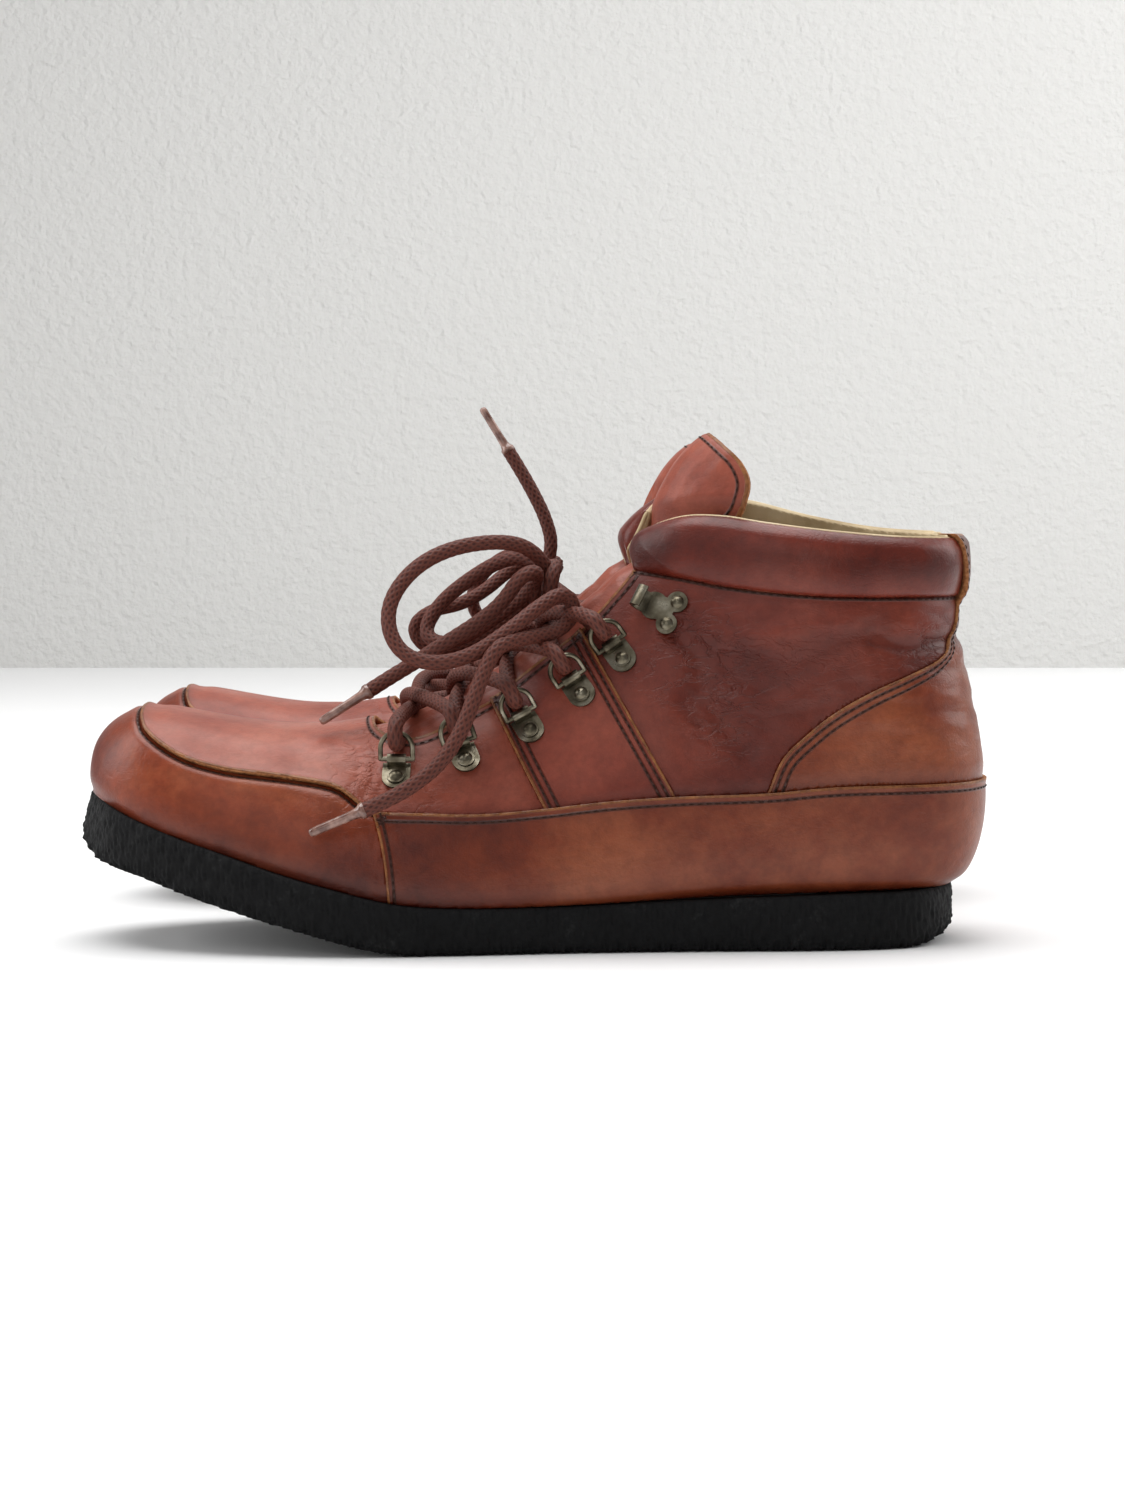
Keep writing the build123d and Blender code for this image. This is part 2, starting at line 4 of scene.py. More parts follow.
import bpy
import numpy as np
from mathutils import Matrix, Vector


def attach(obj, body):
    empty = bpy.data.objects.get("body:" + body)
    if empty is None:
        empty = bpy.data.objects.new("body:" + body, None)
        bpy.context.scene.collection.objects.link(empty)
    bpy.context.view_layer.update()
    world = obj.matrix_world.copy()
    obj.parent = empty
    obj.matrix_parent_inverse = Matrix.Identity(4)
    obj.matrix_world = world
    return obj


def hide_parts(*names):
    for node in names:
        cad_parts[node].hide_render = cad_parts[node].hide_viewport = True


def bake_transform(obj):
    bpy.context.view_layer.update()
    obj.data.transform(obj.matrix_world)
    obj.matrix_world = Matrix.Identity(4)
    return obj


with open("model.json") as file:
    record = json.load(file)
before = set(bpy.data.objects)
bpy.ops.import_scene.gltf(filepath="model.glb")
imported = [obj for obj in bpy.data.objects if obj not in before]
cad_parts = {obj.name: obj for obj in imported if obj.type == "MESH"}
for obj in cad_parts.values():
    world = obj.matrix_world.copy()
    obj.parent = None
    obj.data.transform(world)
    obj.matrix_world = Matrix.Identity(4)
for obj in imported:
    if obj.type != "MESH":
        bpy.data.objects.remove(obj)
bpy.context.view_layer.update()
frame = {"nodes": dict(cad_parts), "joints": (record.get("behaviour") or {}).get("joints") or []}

MM = 0.001
BOOT_LENGTH = 301.7
PAIR_SPACING = 114.0

# ---------------------------------------------------------------- the last, as in the CAD
# Girth sections: heel-side point, instep-side point, outer and inner half-width, share of the
# girth on the heel side of its widest place, roundness of its heel-side and instep-side ends.
GIRTHS = [
    ((4.6, 44), (4.6, 58), 9.0, 8.5, 0.40, 2.4, 2.2),
    ((6.0, 41), (6.0, 64.5), 16.0, 15.0, 0.38, 3.0, 2.3),
    ((9.5, 38), (9.5, 70), 22.0, 20.5, 0.34, 3.6, 2.4),
    ((14.5, 35), (14.5, 74), 27.5, 25.5, 0.30, 4.0, 2.5),
    ((22, 32), (22, 76.8), 33.5, 31.0, 0.28, 4.0, 2.6),
    ((35, 27), (35, 76), 40.0, 37.0, 0.26, 4.0, 2.6),
    ((50, 22), (50, 73.2), 44.5, 41.5, 0.26, 4.0, 2.5),
    ((67, 17), (67, 71), 47.5, 44.0, 0.26, 4.0, 2.4),
    ((85, 11), (85, 71.5), 49.5, 45.0, 0.24, 4.0, 2.1),
    ((104, 6), (102, 74), 49.5, 44.5, 0.24, 4.0, 1.95),
    ((126, 4), (117, 79.5), 48.0, 42.5, 0.23, 3.8, 1.85),
    ((152, 5), (131.5, 87), 45.0, 39.5, 0.23, 3.5, 1.8),
    ((182, 6), (145.5, 96), 42.0, 37.0, 0.25, 3.2, 1.8),
    ((213, 7.5), (157.5, 105.5), 40.0, 36.0, 0.28, 3.0, 1.85),
    ((246, 8.5), (167.5, 114.5), 38.5, 36.0, 0.30, 3.0, 1.9),
    ((274, 11), (175.5, 122.5), 37.5, 36.0, 0.32, 3.0, 2.0),
    ((293, 20), (181.5, 129.5), 36.5, 35.5, 0.34, 2.7, 2.0),
    ((300, 34), (185.0, 135.5), 36.0, 35.5, 0.36, 2.5, 2.0),
    ((301.7, 50), (187.5, 141.5), 35.5, 35.0, 0.38, 2.3, 2.0),
    ((299.5, 68), (190, 148), 34.5, 34.5, 0.40, 2.2, 2.0),
    ((295.5, 88), (193, 154), 33.5, 34.0, 0.42, 2.1, 2.0),
    ((292.5, 104), (196.5, 160), 32.5, 33.0, 0.43, 2.1, 2.0),
    ((293.5, 119), (201.5, 165.5), 32.5, 33.0, 0.44, 2.1, 2.0),
    ((294, 134), (207.5, 170), 32.0, 32.5, 0.45, 2.1, 2.0),
    ((292, 146), (213, 173), 31.5, 32.0, 0.45, 2.1, 2.0),
]
ROWS = 440  # along the foot
COLUMNS = 264  # round the girth

# Side-view lines, (x, z) in millimetres, as in the CAD
FEATHER = [(-8, 55), (4, 50), (17, 44), (33, 38), (52, 32), (70, 26), (86, 21.5), (107, 16.4),
           (130, 14.6), (165, 14.8), (203, 16.4), (238, 17.5), (266, 18.2), (312, 18.2)]
APRON_SEAM = [(21.6, 84), (22.7, 76.3), (26, 70), (37.6, 62.8), (51, 58.8), (64, 57),
              (79, 55.3), (90, 52.2), (100.5, 45.8)]
BAND_TOP = [(100.5, 45.8), (118, 44.7), (135, 44.4), (155.5, 46), (176, 48.3), (197.6, 49.8),
            (227, 50.9), (255, 53), (312, 53.6)]
BAND_FRONT = [(100.5, 45.8), (103.2, 36), (105, 25), (106.5, 4)]
SEAM_A = [(75, 199), (211.5, -60)]
SEAM_B = [(113.5, 199), (259.6, -60)]
SEAM_C = [(227.4, 50.9), (232, 61.6), (240, 69.6), (249, 76.6), (260.7, 83.3), (273, 88.6),
          (284, 93.7), (289.3, 101.5), (290.6, 110), (291.3, 119), (291, 128), (288, 140)]
THROAT = [(97.2, 92), (97.2, 80), (98.6, 73.5), (102, 69.8), (110, 67.8), (120, 70.2), (137.6, 80),
          (154, 92.5), (167.6, 103), (178, 114), (184.5, 122.5)]
COLLAR_SEAM = [(184.5, 122.5), (199.4, 120), (215.5, 117), (238.4, 114.6), (262, 113.8),
               (312, 113.8)]
COLLAR_TOP = {-1: [(184.5, 122.5), (183, 129), (187, 135.6), (199.4, 140), (213, 140),
                   (227, 137.8), (250, 134.8), (275, 133), (312, 133)],
              1: [(184.5, 122.5), (181.5, 131), (185, 139), (192, 145.5), (201, 149),
                  (224, 145.5), (248, 139.6), (275, 135.4), (312, 134.4)]}
TONGUE_REAR = [(96, 56), (130, 69), (160, 91), (185, 116), (205, 131), (215.5, 139),
               (219.5, 145), (220.5, 152), (217.4, 159.4), (212.5, 165), (202, 178)]
SOLE_LENGTH = 292.0
SOLE_PLAN = [(10, 25, 23), (25, 37, 34), (50, 47, 44), (80, 52, 48), (104, 52, 47),
             (130, 49, 43.5), (165, 43.5, 38), (203, 40, 36), (240, 38.5, 35.5), (268, 34, 33),
             (284, 23, 22.5)]
SOLE_UNDERSIDE = [(-1, 37.5), (3, 31), (11, 27), (24, 23.5), (49, 15.5), (75, 8), (92, 3.4),
                  (103, 0.9), (112, 0)]
SOLE_HEEL_RISE = [(276, 0), (284, 1.2), (292, 4.2), (300, 8.5)]
SOLE_AROUND = 1500
SOLE_LEVELS = 22

# Where the leather is finely creased: middle (x, z), reach both ways, and how strongly
CREASED = [(207, 98, 11, 14, 0.9), (214, 76, 9, 14, 0.8), (99, 57, 9, 12, 0.6),
           (96, 76, 14, 9, 0.5), (284, 98, 14, 6, 0.8), (232, 92, 24, 12, 0.35),
           (110, 50, 12, 5, 0.5), (194, 90, 7, 9, 0.4)]

# Soft folds in the leather: (x, z) points, how deep, how wide, in millimetres
FOLDS = [
    ([(196, 104), (203, 99), (214, 96), (226, 95)], -1.2, 3.2),
    ([(199, 101), (206, 92), (209, 82), (214, 72), (222, 64)], -0.6, 3.0),
    ([(208, 90), (228, 90), (246, 96), (262, 104)], -1.6, 6.5),
    ([(204, 80), (222, 74), (240, 76), (254, 84)], -1.3, 6.5),
    ([(214, 104), (232, 103), (256, 107), (276, 109)], 0.8, 7.0),
    ([(262, 100), (276, 98), (296, 100.5)], -1.9, 2.4),
    ([(274, 92), (288, 90.5), (300, 92)], -0.7, 2.2),
    ([(289, 76), (301, 78)], -0.5, 3.0),
    ([(205, 73), (214, 70), (221, 71)], -0.5, 1.3),
    ([(206, 69), (216, 66), (224, 66)], -0.4, 1.1),
    ([(100, 66), (101, 57), (97, 50)], -0.45, 1.3),
    ([(104, 55), (102, 51), (98, 47)], -0.35, 1.0),
    ([(94, 66), (96, 58), (93, 53)], -0.3, 1.2),
    ([(74, 60), (80, 66), (84, 72)], -0.35, 3.5),
    ([(66, 40), (72, 48), (78, 54)], -0.7, 6.0),
    ([(80, 33), (84, 43), (88, 50)], 0.6, 5.0),
    ([(152, 62), (166, 66), (178, 74)], -0.4, 6.0),
]

# ---------------------------------------------------------------- small maths
CURVE_STEPS = 24


def walk(points):
    """How far along a line each of its points is."""
    return np.concatenate([[0], np.cumsum(np.linalg.norm(np.diff(points, axis=0), axis=1))])


def spots_at(goals, walked, points):
    """A line's points at distances along it."""
    return np.stack([np.interp(goals, walked, column) for column in points.T], axis=1)


def evenly(points, count):
    """A line resampled at even distances."""
    walked = walk(points)
    return spots_at(np.linspace(0, walked[-1], count), walked, points)


def unit(vectors):
    """The vectors at length 1."""
    return vectors / np.linalg.norm(vectors, axis=-1, keepdims=True)


def curve_through(points, count):
    """A smooth curve through points, resampled at even distances."""
    points = np.asarray(points, float)
    padded = np.vstack([2 * points[0] - points[1], points, 2 * points[-1] - points[-2]])
    pieces = []
    t = np.linspace(0, 1, CURVE_STEPS, endpoint=False)[:, None]
    for i in range(1, len(padded) - 2):
        a, b, c, d = padded[i - 1:i + 3]
        pieces.append(0.5 * (2 * b + (c - a) * t + (2 * a - 5 * b + 4 * c - d) * t ** 2
                             + (3 * b - a - 3 * c + d) * t ** 3))
    return evenly(np.vstack(pieces + [padded[-2:-1]]), count)


def signed_distance(x, z, line, count=90):
    """Distance to a side-view line, positive to the left of its direction."""
    points = curve_through(line, count) if len(line) > 2 else np.asarray(line, float)
    best = np.full(x.shape, 1e9)
    sign = np.ones(x.shape)
    for a, b in zip(points[:-1], points[1:]):
        way = b - a
        size = float(way @ way)
        t = np.clip(((x - a[0]) * way[0] + (z - a[1]) * way[1]) / size, 0, 1)
        dx, dz = x - a[0] - t * way[0], z - a[1] - t * way[1]
        distance = np.hypot(dx, dz)
        near = distance < best - 1e-9
        cross = way[0] * (z - a[1]) - way[1] * (x - a[0])
        sign = np.where(near, np.where(cross >= 0, 1.0, -1.0), sign)
        best = np.where(near, distance, best)
    return best * sign


def ease(value, low, high):
    """0 below low, 1 above high, smooth between."""
    t = np.clip((value - low) / (high - low), 0, 1)
    return t * t * (3 - 2 * t)


def wave_noise(points, scale, seed, octaves=3):
    """Smooth noise in -1..1 made of summed sine waves in many directions."""
    source = np.random.default_rng(seed)
    total = np.zeros(len(points))
    weight = 0.0
    for octave in range(octaves):
        for _ in range(7):
            way = source.normal(size=3)
            way /= np.linalg.norm(way)
            phase = source.uniform(0, 2 * math.pi)
            rate = 2 * math.pi / scale * 2 ** octave * source.uniform(0.7, 1.4)
            total += np.sin(points @ way * rate + phase) / 2 ** octave
        weight += 7 / 2 ** octave
    return total / weight * 2.2


# ---------------------------------------------------------------- the last's surface


def girth_points(section, side, count):
    """Half a girth from the instep to the heel side, as evenly spaced points."""
    heel, instep, outer, inner, share, heel_round, instep_round = section
    low, high = np.array([heel[0], 0, heel[1]], float), np.array([instep[0], 0, instep[1]], float)
    length = np.linalg.norm(high - low)
    along = (high - low) / length
    width = outer if side < 0 else inner
    turn = np.linspace(0, math.pi, 400)
    c, s = np.cos(turn), np.clip(np.sin(turn), 0, None)
    power = np.where(c >= 0, instep_round, heel_round)
    half = np.where(c >= 0, (1 - share) * length, share * length)
    level = share * length + np.sign(c) * half * np.abs(c) ** (2 / power)
    fine = low + along * level[:, None]
    fine[:, 1] += side * width * s ** (2 / power)
    return evenly(fine, count)


def natural_spline(knots, values, at):
    """A smooth cubic through rows of values."""
    count = len(knots)
    gaps = np.diff(knots)
    matrix = np.zeros((count, count))
    matrix[0, 0] = matrix[-1, -1] = 1
    right = np.zeros_like(values)
    for i in range(1, count - 1):
        matrix[i, i - 1:i + 2] = gaps[i - 1], 2 * (gaps[i - 1] + gaps[i]), gaps[i]
        right[i] = 6 * ((values[i + 1] - values[i]) / gaps[i]
                        - (values[i] - values[i - 1]) / gaps[i - 1])
    bend = np.linalg.solve(matrix, right)
    i = np.clip(np.searchsorted(knots, at) - 1, 0, count - 2)
    h = gaps[i][:, None]
    a = (knots[i + 1] - at)[:, None] / h
    b = (at - knots[i])[:, None] / h
    return (a * values[i] + b * values[i + 1]
            + ((a ** 3 - a) * bend[i] + (b ** 3 - b) * bend[i + 1]) * h * h / 6)


def last_grid():
    """The last as a grid of points and outward normals: rows along the foot, columns round it."""
    half = COLUMNS // 2
    sections = []
    for section in GIRTHS:
        outer = girth_points(section, -1, half + 1)
        inner = girth_points(section, 1, half + 1)[::-1]
        sections.append(np.vstack([outer[:-1], inner[:-1]]))
    sections = np.array(sections)
    steps = np.linalg.norm(np.diff(sections, axis=0), axis=2).mean(axis=1)
    knots = np.concatenate([[0], np.cumsum(steps)])
    at = np.linspace(0, knots[-1], ROWS)
    flat = natural_spline(knots, sections.reshape(len(GIRTHS), -1), at)
    grid = flat.reshape(ROWS, COLUMNS, 3)
    nose = grid[0].mean(axis=0)
    cap = []
    for share in (0.0, 0.35, 0.62, 0.82, 0.94):
        ring = nose + (grid[0] - nose) * share
        ring[:, 0] -= 0.5 * (1 - share ** 2) ** 0.5
        cap.append(ring)
    grid = np.concatenate([np.array(cap), grid])
    across = np.roll(grid, -1, axis=1) - np.roll(grid, 1, axis=1)
    down = np.gradient(grid, axis=0)
    normal = np.cross(down, across)
    normal /= np.linalg.norm(normal, axis=2, keepdims=True) + 1e-12
    centre = grid.mean(axis=1, keepdims=True)
    flip = np.sum(normal * (grid - centre), axis=2, keepdims=True).mean() < 0
    return grid, -normal if flip else normal


GRID, NORMAL = last_grid()
P0 = GRID.reshape(-1, 3)
N0 = NORMAL.reshape(-1, 3)
N0[:COLUMNS] = (-1, 0, 0)
X, Y, Z = P0.T
SIDE = np.where(Y <= 0, -1, 1)


def grid_quads():
    """Faces of the grid, closed round the girth."""
    rows, columns = GRID.shape[:2]
    index = np.arange(rows * columns).reshape(rows, columns)
    right = np.roll(index, -1, axis=1)
    quads = np.stack([index[:-1], index[1:], right[1:], right[:-1]], axis=-1)
    return quads.reshape(-1, 4)


QUADS = grid_quads()


def tube_faces(rows, sides, base=0):
    """Faces of a tube of rings of points, with its two flat ends last."""
    index = base + np.arange(rows * sides).reshape(rows, sides)
    right = np.roll(index, -1, axis=1)
    quads = np.stack([index[:-1], right[:-1], right[1:], index[1:]], axis=-1)
    return [tuple(face) for face in quads.reshape(-1, 4).tolist()] + [
        tuple(index[0][::-1].tolist()), tuple(index[-1].tolist())]


LOWER = APRON_SEAM + BAND_TOP[1:]
FIELD = {
    "feather": signed_distance(X, Z, FEATHER),
    "lower": signed_distance(X, Z, LOWER),
    "front": -signed_distance(X, Z, BAND_FRONT),
    "a": -signed_distance(X, Z, SEAM_A),
    "b": -signed_distance(X, Z, SEAM_B),
    "c": signed_distance(X, Z, SEAM_C),
    "throat": -signed_distance(X, Z, THROAT + [(187, 131), (189, 150)]),
    "collar": signed_distance(X, Z, COLLAR_SEAM),
    "top": np.where(SIDE < 0, -signed_distance(X, Z, COLLAR_TOP[-1]),
                    -signed_distance(X, Z, COLLAR_TOP[1])),
    "tongue": signed_distance(X, Z, TONGUE_REAR),
    "strip_top": 134.2 - Z,
    "collar_front": X - 180.0,
}
# round the back of the heel, where the leather turns away from the side view, distances grow
FIELD["c_true"] = FIELD["c"] / np.clip(np.abs(N0[:, 1]), 0.3, 1)


def fold_relief(points):
    """Height of the leather's folds and unevenness at points of the last, in millimetres."""
    x, z = points[:, 0], points[:, 2]
    relief = np.zeros(len(points))
    wobble = wave_noise(points, 26, 11, 2)
    for line, depth, width in FOLDS:
        distance = np.abs(signed_distance(x + wobble * 1.2, z + wobble, line, 14))
        relief += depth * np.exp(-(distance / width) ** 2)
    relief += 0.32 * wave_noise(points, 60, 3, 2)
    ankle = ease(z, 56, 74) * ease(x, 185, 205) * (1 - ease(z, 108, 118))
    relief += ankle * 0.35 * wave_noise(points * [1, 1, 2.2], 20, 5, 2)
    creased = ease(x, 196, 204) * (1 - ease(x, 214, 236)) * ease(z, 58, 66)
    creased *= 1 - ease(z, 106, 114)
    relief += creased * 0.16 * wave_noise(points * [1.4, 1, 2.4], 7, 8, 2)
    toe_break = ease(x, 84, 96) * (1 - ease(x, 104, 116)) * (1 - ease(z, 62, 74))
    relief += toe_break * 0.12 * wave_noise(points * [3.0, 1, 0.8], 7, 9, 2)
    return np.clip(relief, -1.7, 1.6)


RELIEF = fold_relief(P0)

# ---------------------------------------------------------------- cutting panels out of it


class Sheet:
    """A piece of the last's surface: faces, and per point its place, normal, relief, fields."""

    def __init__(self):
        self.faces = [tuple(f) for f in QUADS]
        self.data = np.column_stack([P0, N0, RELIEF] + [FIELD[k] for k in FIELD])
        self.names = {k: 7 + i for i, k in enumerate(FIELD)}

    def __getitem__(self, name):
        """A field's value at each point."""
        return self.data[:, self.names[name]]

    def keep(self, name, level=0.0, above=True):
        """Cut the sheet at a field's level and keep the part above it."""
        values = self[name] - level
        if not above:
            values = -values
        return self.keep_where(values)

    def keep_where(self, values):
        """Cut the sheet where a value per point passes zero and keep the positive part."""
        inside = values > 0
        rows = []
        made = {}
        kept = []
        base = len(self.data)
        for face in self.faces:
            flags = [inside[i] for i in face]
            if all(flags):
                kept.append(face)
                continue
            if not any(flags):
                continue
            ring = []
            for i, j in zip(face, face[1:] + face[:1]):
                if inside[i]:
                    ring.append(i)
                if inside[i] != inside[j]:
                    key = (i, j) if i < j else (j, i)
                    if key not in made:
                        t = values[key[0]] / (values[key[0]] - values[key[1]])
                        made[key] = base + len(rows)
                        rows.append(self.data[key[0]] * (1 - t) + self.data[key[1]] * t)
                    ring.append(made[key])
            if len(ring) >= 3:
                kept.append(tuple(ring))
        if rows:
            self.data = np.vstack([self.data, np.array(rows)])
        used = np.unique([i for face in kept for i in face])
        remap = np.full(len(self.data), -1)
        remap[used] = np.arange(len(used))
        self.data = self.data[used]
        self.faces = [tuple(int(remap[i]) for i in face) for face in kept]
        return self

    def points(self):
        return self.data[:, :3]

    def normals(self):
        normal = self.data[:, 3:6]
        return normal / (np.linalg.norm(normal, axis=1, keepdims=True) + 1e-12)

    def relief(self):
        return self.data[:, 6]


def boundary_edges(faces):
    """Directed edges that belong to one face only."""
    seen = {}
    for face in faces:
        for i, j in zip(face, face[1:] + face[:1]):
            if (j, i) in seen:
                del seen[(j, i)]
            else:
                seen[(i, j)] = True
    return list(seen)


def isoline(sheet, values):
    """Chains of a sheet's rows of data where a value per point passes zero."""
    made = {}
    rows = []
    links = {}
    for face in sheet.faces:
        hits = []
        for i, j in zip(face, face[1:] + face[:1]):
            if (values[i] > 0) != (values[j] > 0):
                key = (i, j) if i < j else (j, i)
                if key not in made:
                    t = values[key[0]] / (values[key[0]] - values[key[1]])
                    made[key] = len(rows)
                    rows.append(sheet.data[key[0]] * (1 - t) + sheet.data[key[1]] * t)
                hits.append(made[key])
        if len(hits) == 2 and hits[0] != hits[1]:
            links.setdefault(hits[0], []).append(hits[1])
            links.setdefault(hits[1], []).append(hits[0])
    chains = []
    left = set(links)
    ends = [i for i in links if len(links[i]) == 1]
    for start in ends + sorted(links):
        if start not in left:
            continue
        chain = [start]
        left.discard(start)
        while True:
            onward = [i for i in links[chain[-1]] if i in left]
            if not onward:
                break
            chain.append(onward[0])
            left.discard(onward[0])
        if len(chain) > 3:
            chains.append(np.array([rows[i] for i in chain]))
    return chains


# ---------------------------------------------------------------- placing in the pair


class Boot:
    """Where one boot of the pair stands."""

    def __init__(self, name):
        self.name = name
        self.mirror = 1 if name == "left" else -1
        self.y = -PAIR_SPACING / 2 if name == "left" else PAIR_SPACING / 2
        self.body = f"{name}_boot"

    def place(self, points):
        """Boot millimetres to the row frame's metres."""
        points = np.asarray(points, float).copy()
        points[:, 0] -= BOOT_LENGTH / 2
        points[:, 1] = points[:, 1] * self.mirror + self.y
        return points * MM


BOOTS = (Boot("left"), Boot("right"))


def make_mesh(name, boot, points, faces, materials, face_material=None, attributes=None,
              in_boot=True, rides=True):
    """A mesh object, on the boot's body unless rides is off."""
    mesh = bpy.data.meshes.new(name)
    places = boot.place(points) if in_boot else np.asarray(points)
    if in_boot and boot.mirror < 0:
        faces = [tuple(reversed(face)) for face in faces]
    mesh.from_pydata([tuple(p) for p in places], [], faces)
    for material in materials:
        mesh.materials.append(material)
    if face_material is not None:
        mesh.polygons.foreach_set("material_index", np.asarray(face_material, np.int32))
    for key, values in (attributes or {}).items():
        layer = mesh.attributes.new(key, "FLOAT", "POINT")
        layer.data.foreach_set("value", np.asarray(values, np.float32))
    mesh.polygons.foreach_set("use_smooth", np.full(len(mesh.polygons), True))
    mesh.update()
    made = bpy.data.objects.new(f"{boot.name}_{name}", mesh)
    bpy.context.scene.collection.objects.link(made)
    if rides:
        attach(made, boot.body)
    return made


def thick_piece(name, boot, sheet, outer, inner, materials, attributes=None):
    """A leather piece from a sheet: outer and inner face heights, with raw edges between."""
    points, normals = sheet.points(), sheet.normals()
    count = len(points)
    top = points + normals * np.asarray(outer).reshape(-1, 1)
    bottom = points + normals * np.asarray(inner).reshape(-1, 1)
    faces = list(sheet.faces)
    kinds = [0] * len(faces)
    faces += [tuple(i + count for i in reversed(face)) for face in sheet.faces]
    kinds += [1] * len(sheet.faces)
    for i, j in boundary_edges(sheet.faces):
        faces.append((j, i, i + count, j + count))
        kinds.append(1)
    doubled = {k: np.concatenate([v, v]) for k, v in (attributes or {}).items()}
    return make_mesh(name, boot, np.vstack([top, bottom]), faces, materials, kinds, doubled)


# ---------------------------------------------------------------- materials


class Look:
    """A material with a Principled shader, and short ways to add nodes to it."""

    def __init__(self, name, **constants):
        self.material = bpy.data.materials.new(name)
        self.material.use_nodes = True
        self.tree = self.material.node_tree
        self.shader = self.tree.nodes["Principled BSDF"]
        self.where = self.add("TexCoord").outputs["Object"]
        for key, value in constants.items():
            self.shader.inputs[key.replace("_", " ")].default_value = value

    def add(self, kind, inputs=None, **settings):
        """A node with its settings, and its inputs linked or set."""
        node = self.tree.nodes.new("ShaderNode" + kind)
        for key, value in settings.items():
            setattr(node, key, value)
        for key, value in (inputs or {}).items():
            self.feed(node.inputs[key], value)
        return node

    def feed(self, socket, value):
        """Links a node's output to a socket, or sets the socket to a constant."""
        if isinstance(value, bpy.types.NodeSocket):
            self.tree.links.new(value, socket)
        else:
            socket.default_value = value

    def paint(self, colour=None, normal=None, roughness=None):
        """What the shader takes from the nodes."""
        for key, value in (("Base Color", colour), ("Normal", normal), ("Roughness", roughness)):
            if value is not None:
                self.feed(self.shader.inputs[key], value)
        return self.material

    def noise(self, scale, detail=2.0, roughness=0.5, distortion=0.0, where=None):
        return self.add("TexNoise", {
            "Vector": where or self.where, "Scale": scale, "Detail": detail,
            "Roughness": roughness, "Distortion": distortion}).outputs["Fac"]

    def attribute(self, name):
        return self.add("Attribute", attribute_name=name).outputs["Fac"]

    def maths(self, operation, a, b=0.0):
        return self.add("Math", {0: a, 1: b}, operation=operation).outputs[0]

    def spread(self, value, from_min, from_max, to_min, to_max, shape="LINEAR"):
        return self.add("MapRange", {
            "Value": value, "From Min": from_min, "From Max": from_max, "To Min": to_min,
            "To Max": to_max}, interpolation_type=shape).outputs["Result"]

    def mix(self, factor, a, b, blend="MIX"):
        """Two colours mixed; the colour sockets of the node are numbers 6 and 7."""
        return self.add("Mix", {"Factor": factor, 6: a, 7: b}, data_type="RGBA",
                        blend_type=blend).outputs[2]

    def bump(self, height, strength, distance, normal=None, invert=False):
        inputs = {"Height": height, "Strength": strength, "Distance": distance}
        if normal is not None:
            inputs["Normal"] = normal
        return self.add("Bump", inputs, invert=invert).outputs["Normal"]

    def ramp(self, source, *stops):
        """A colour ramp fed by a value."""
        node = self.add("ValToRGB", {"Fac": source})
        elements = node.color_ramp.elements
        while len(elements) < len(stops):
            elements.new(0.5)
        for element, (place, colour) in zip(elements, stops):
            element.position = place
            element.color = (*colour, 1)
        return node.outputs["Color"]


def seam_masks(look):
    """Masks for a stitched groove and a raw rim, from distances in mm kept on the pieces."""
    rows = [look.maths("ABSOLUTE", look.attribute(key)) for key in ("row_1", "row_2")]
    near = look.maths("MINIMUM", *rows)
    groove = look.spread(near, 0.18, 0.75, 0.85, 0.0, "SMOOTHSTEP")
    rim = look.spread(look.attribute("edge"), 0.55, 1.05, 1.0, 0.0, "SMOOTHSTEP")
    return groove, rim


THREAD_SHADOW = (0.03, 0.008, 0.004, 1)


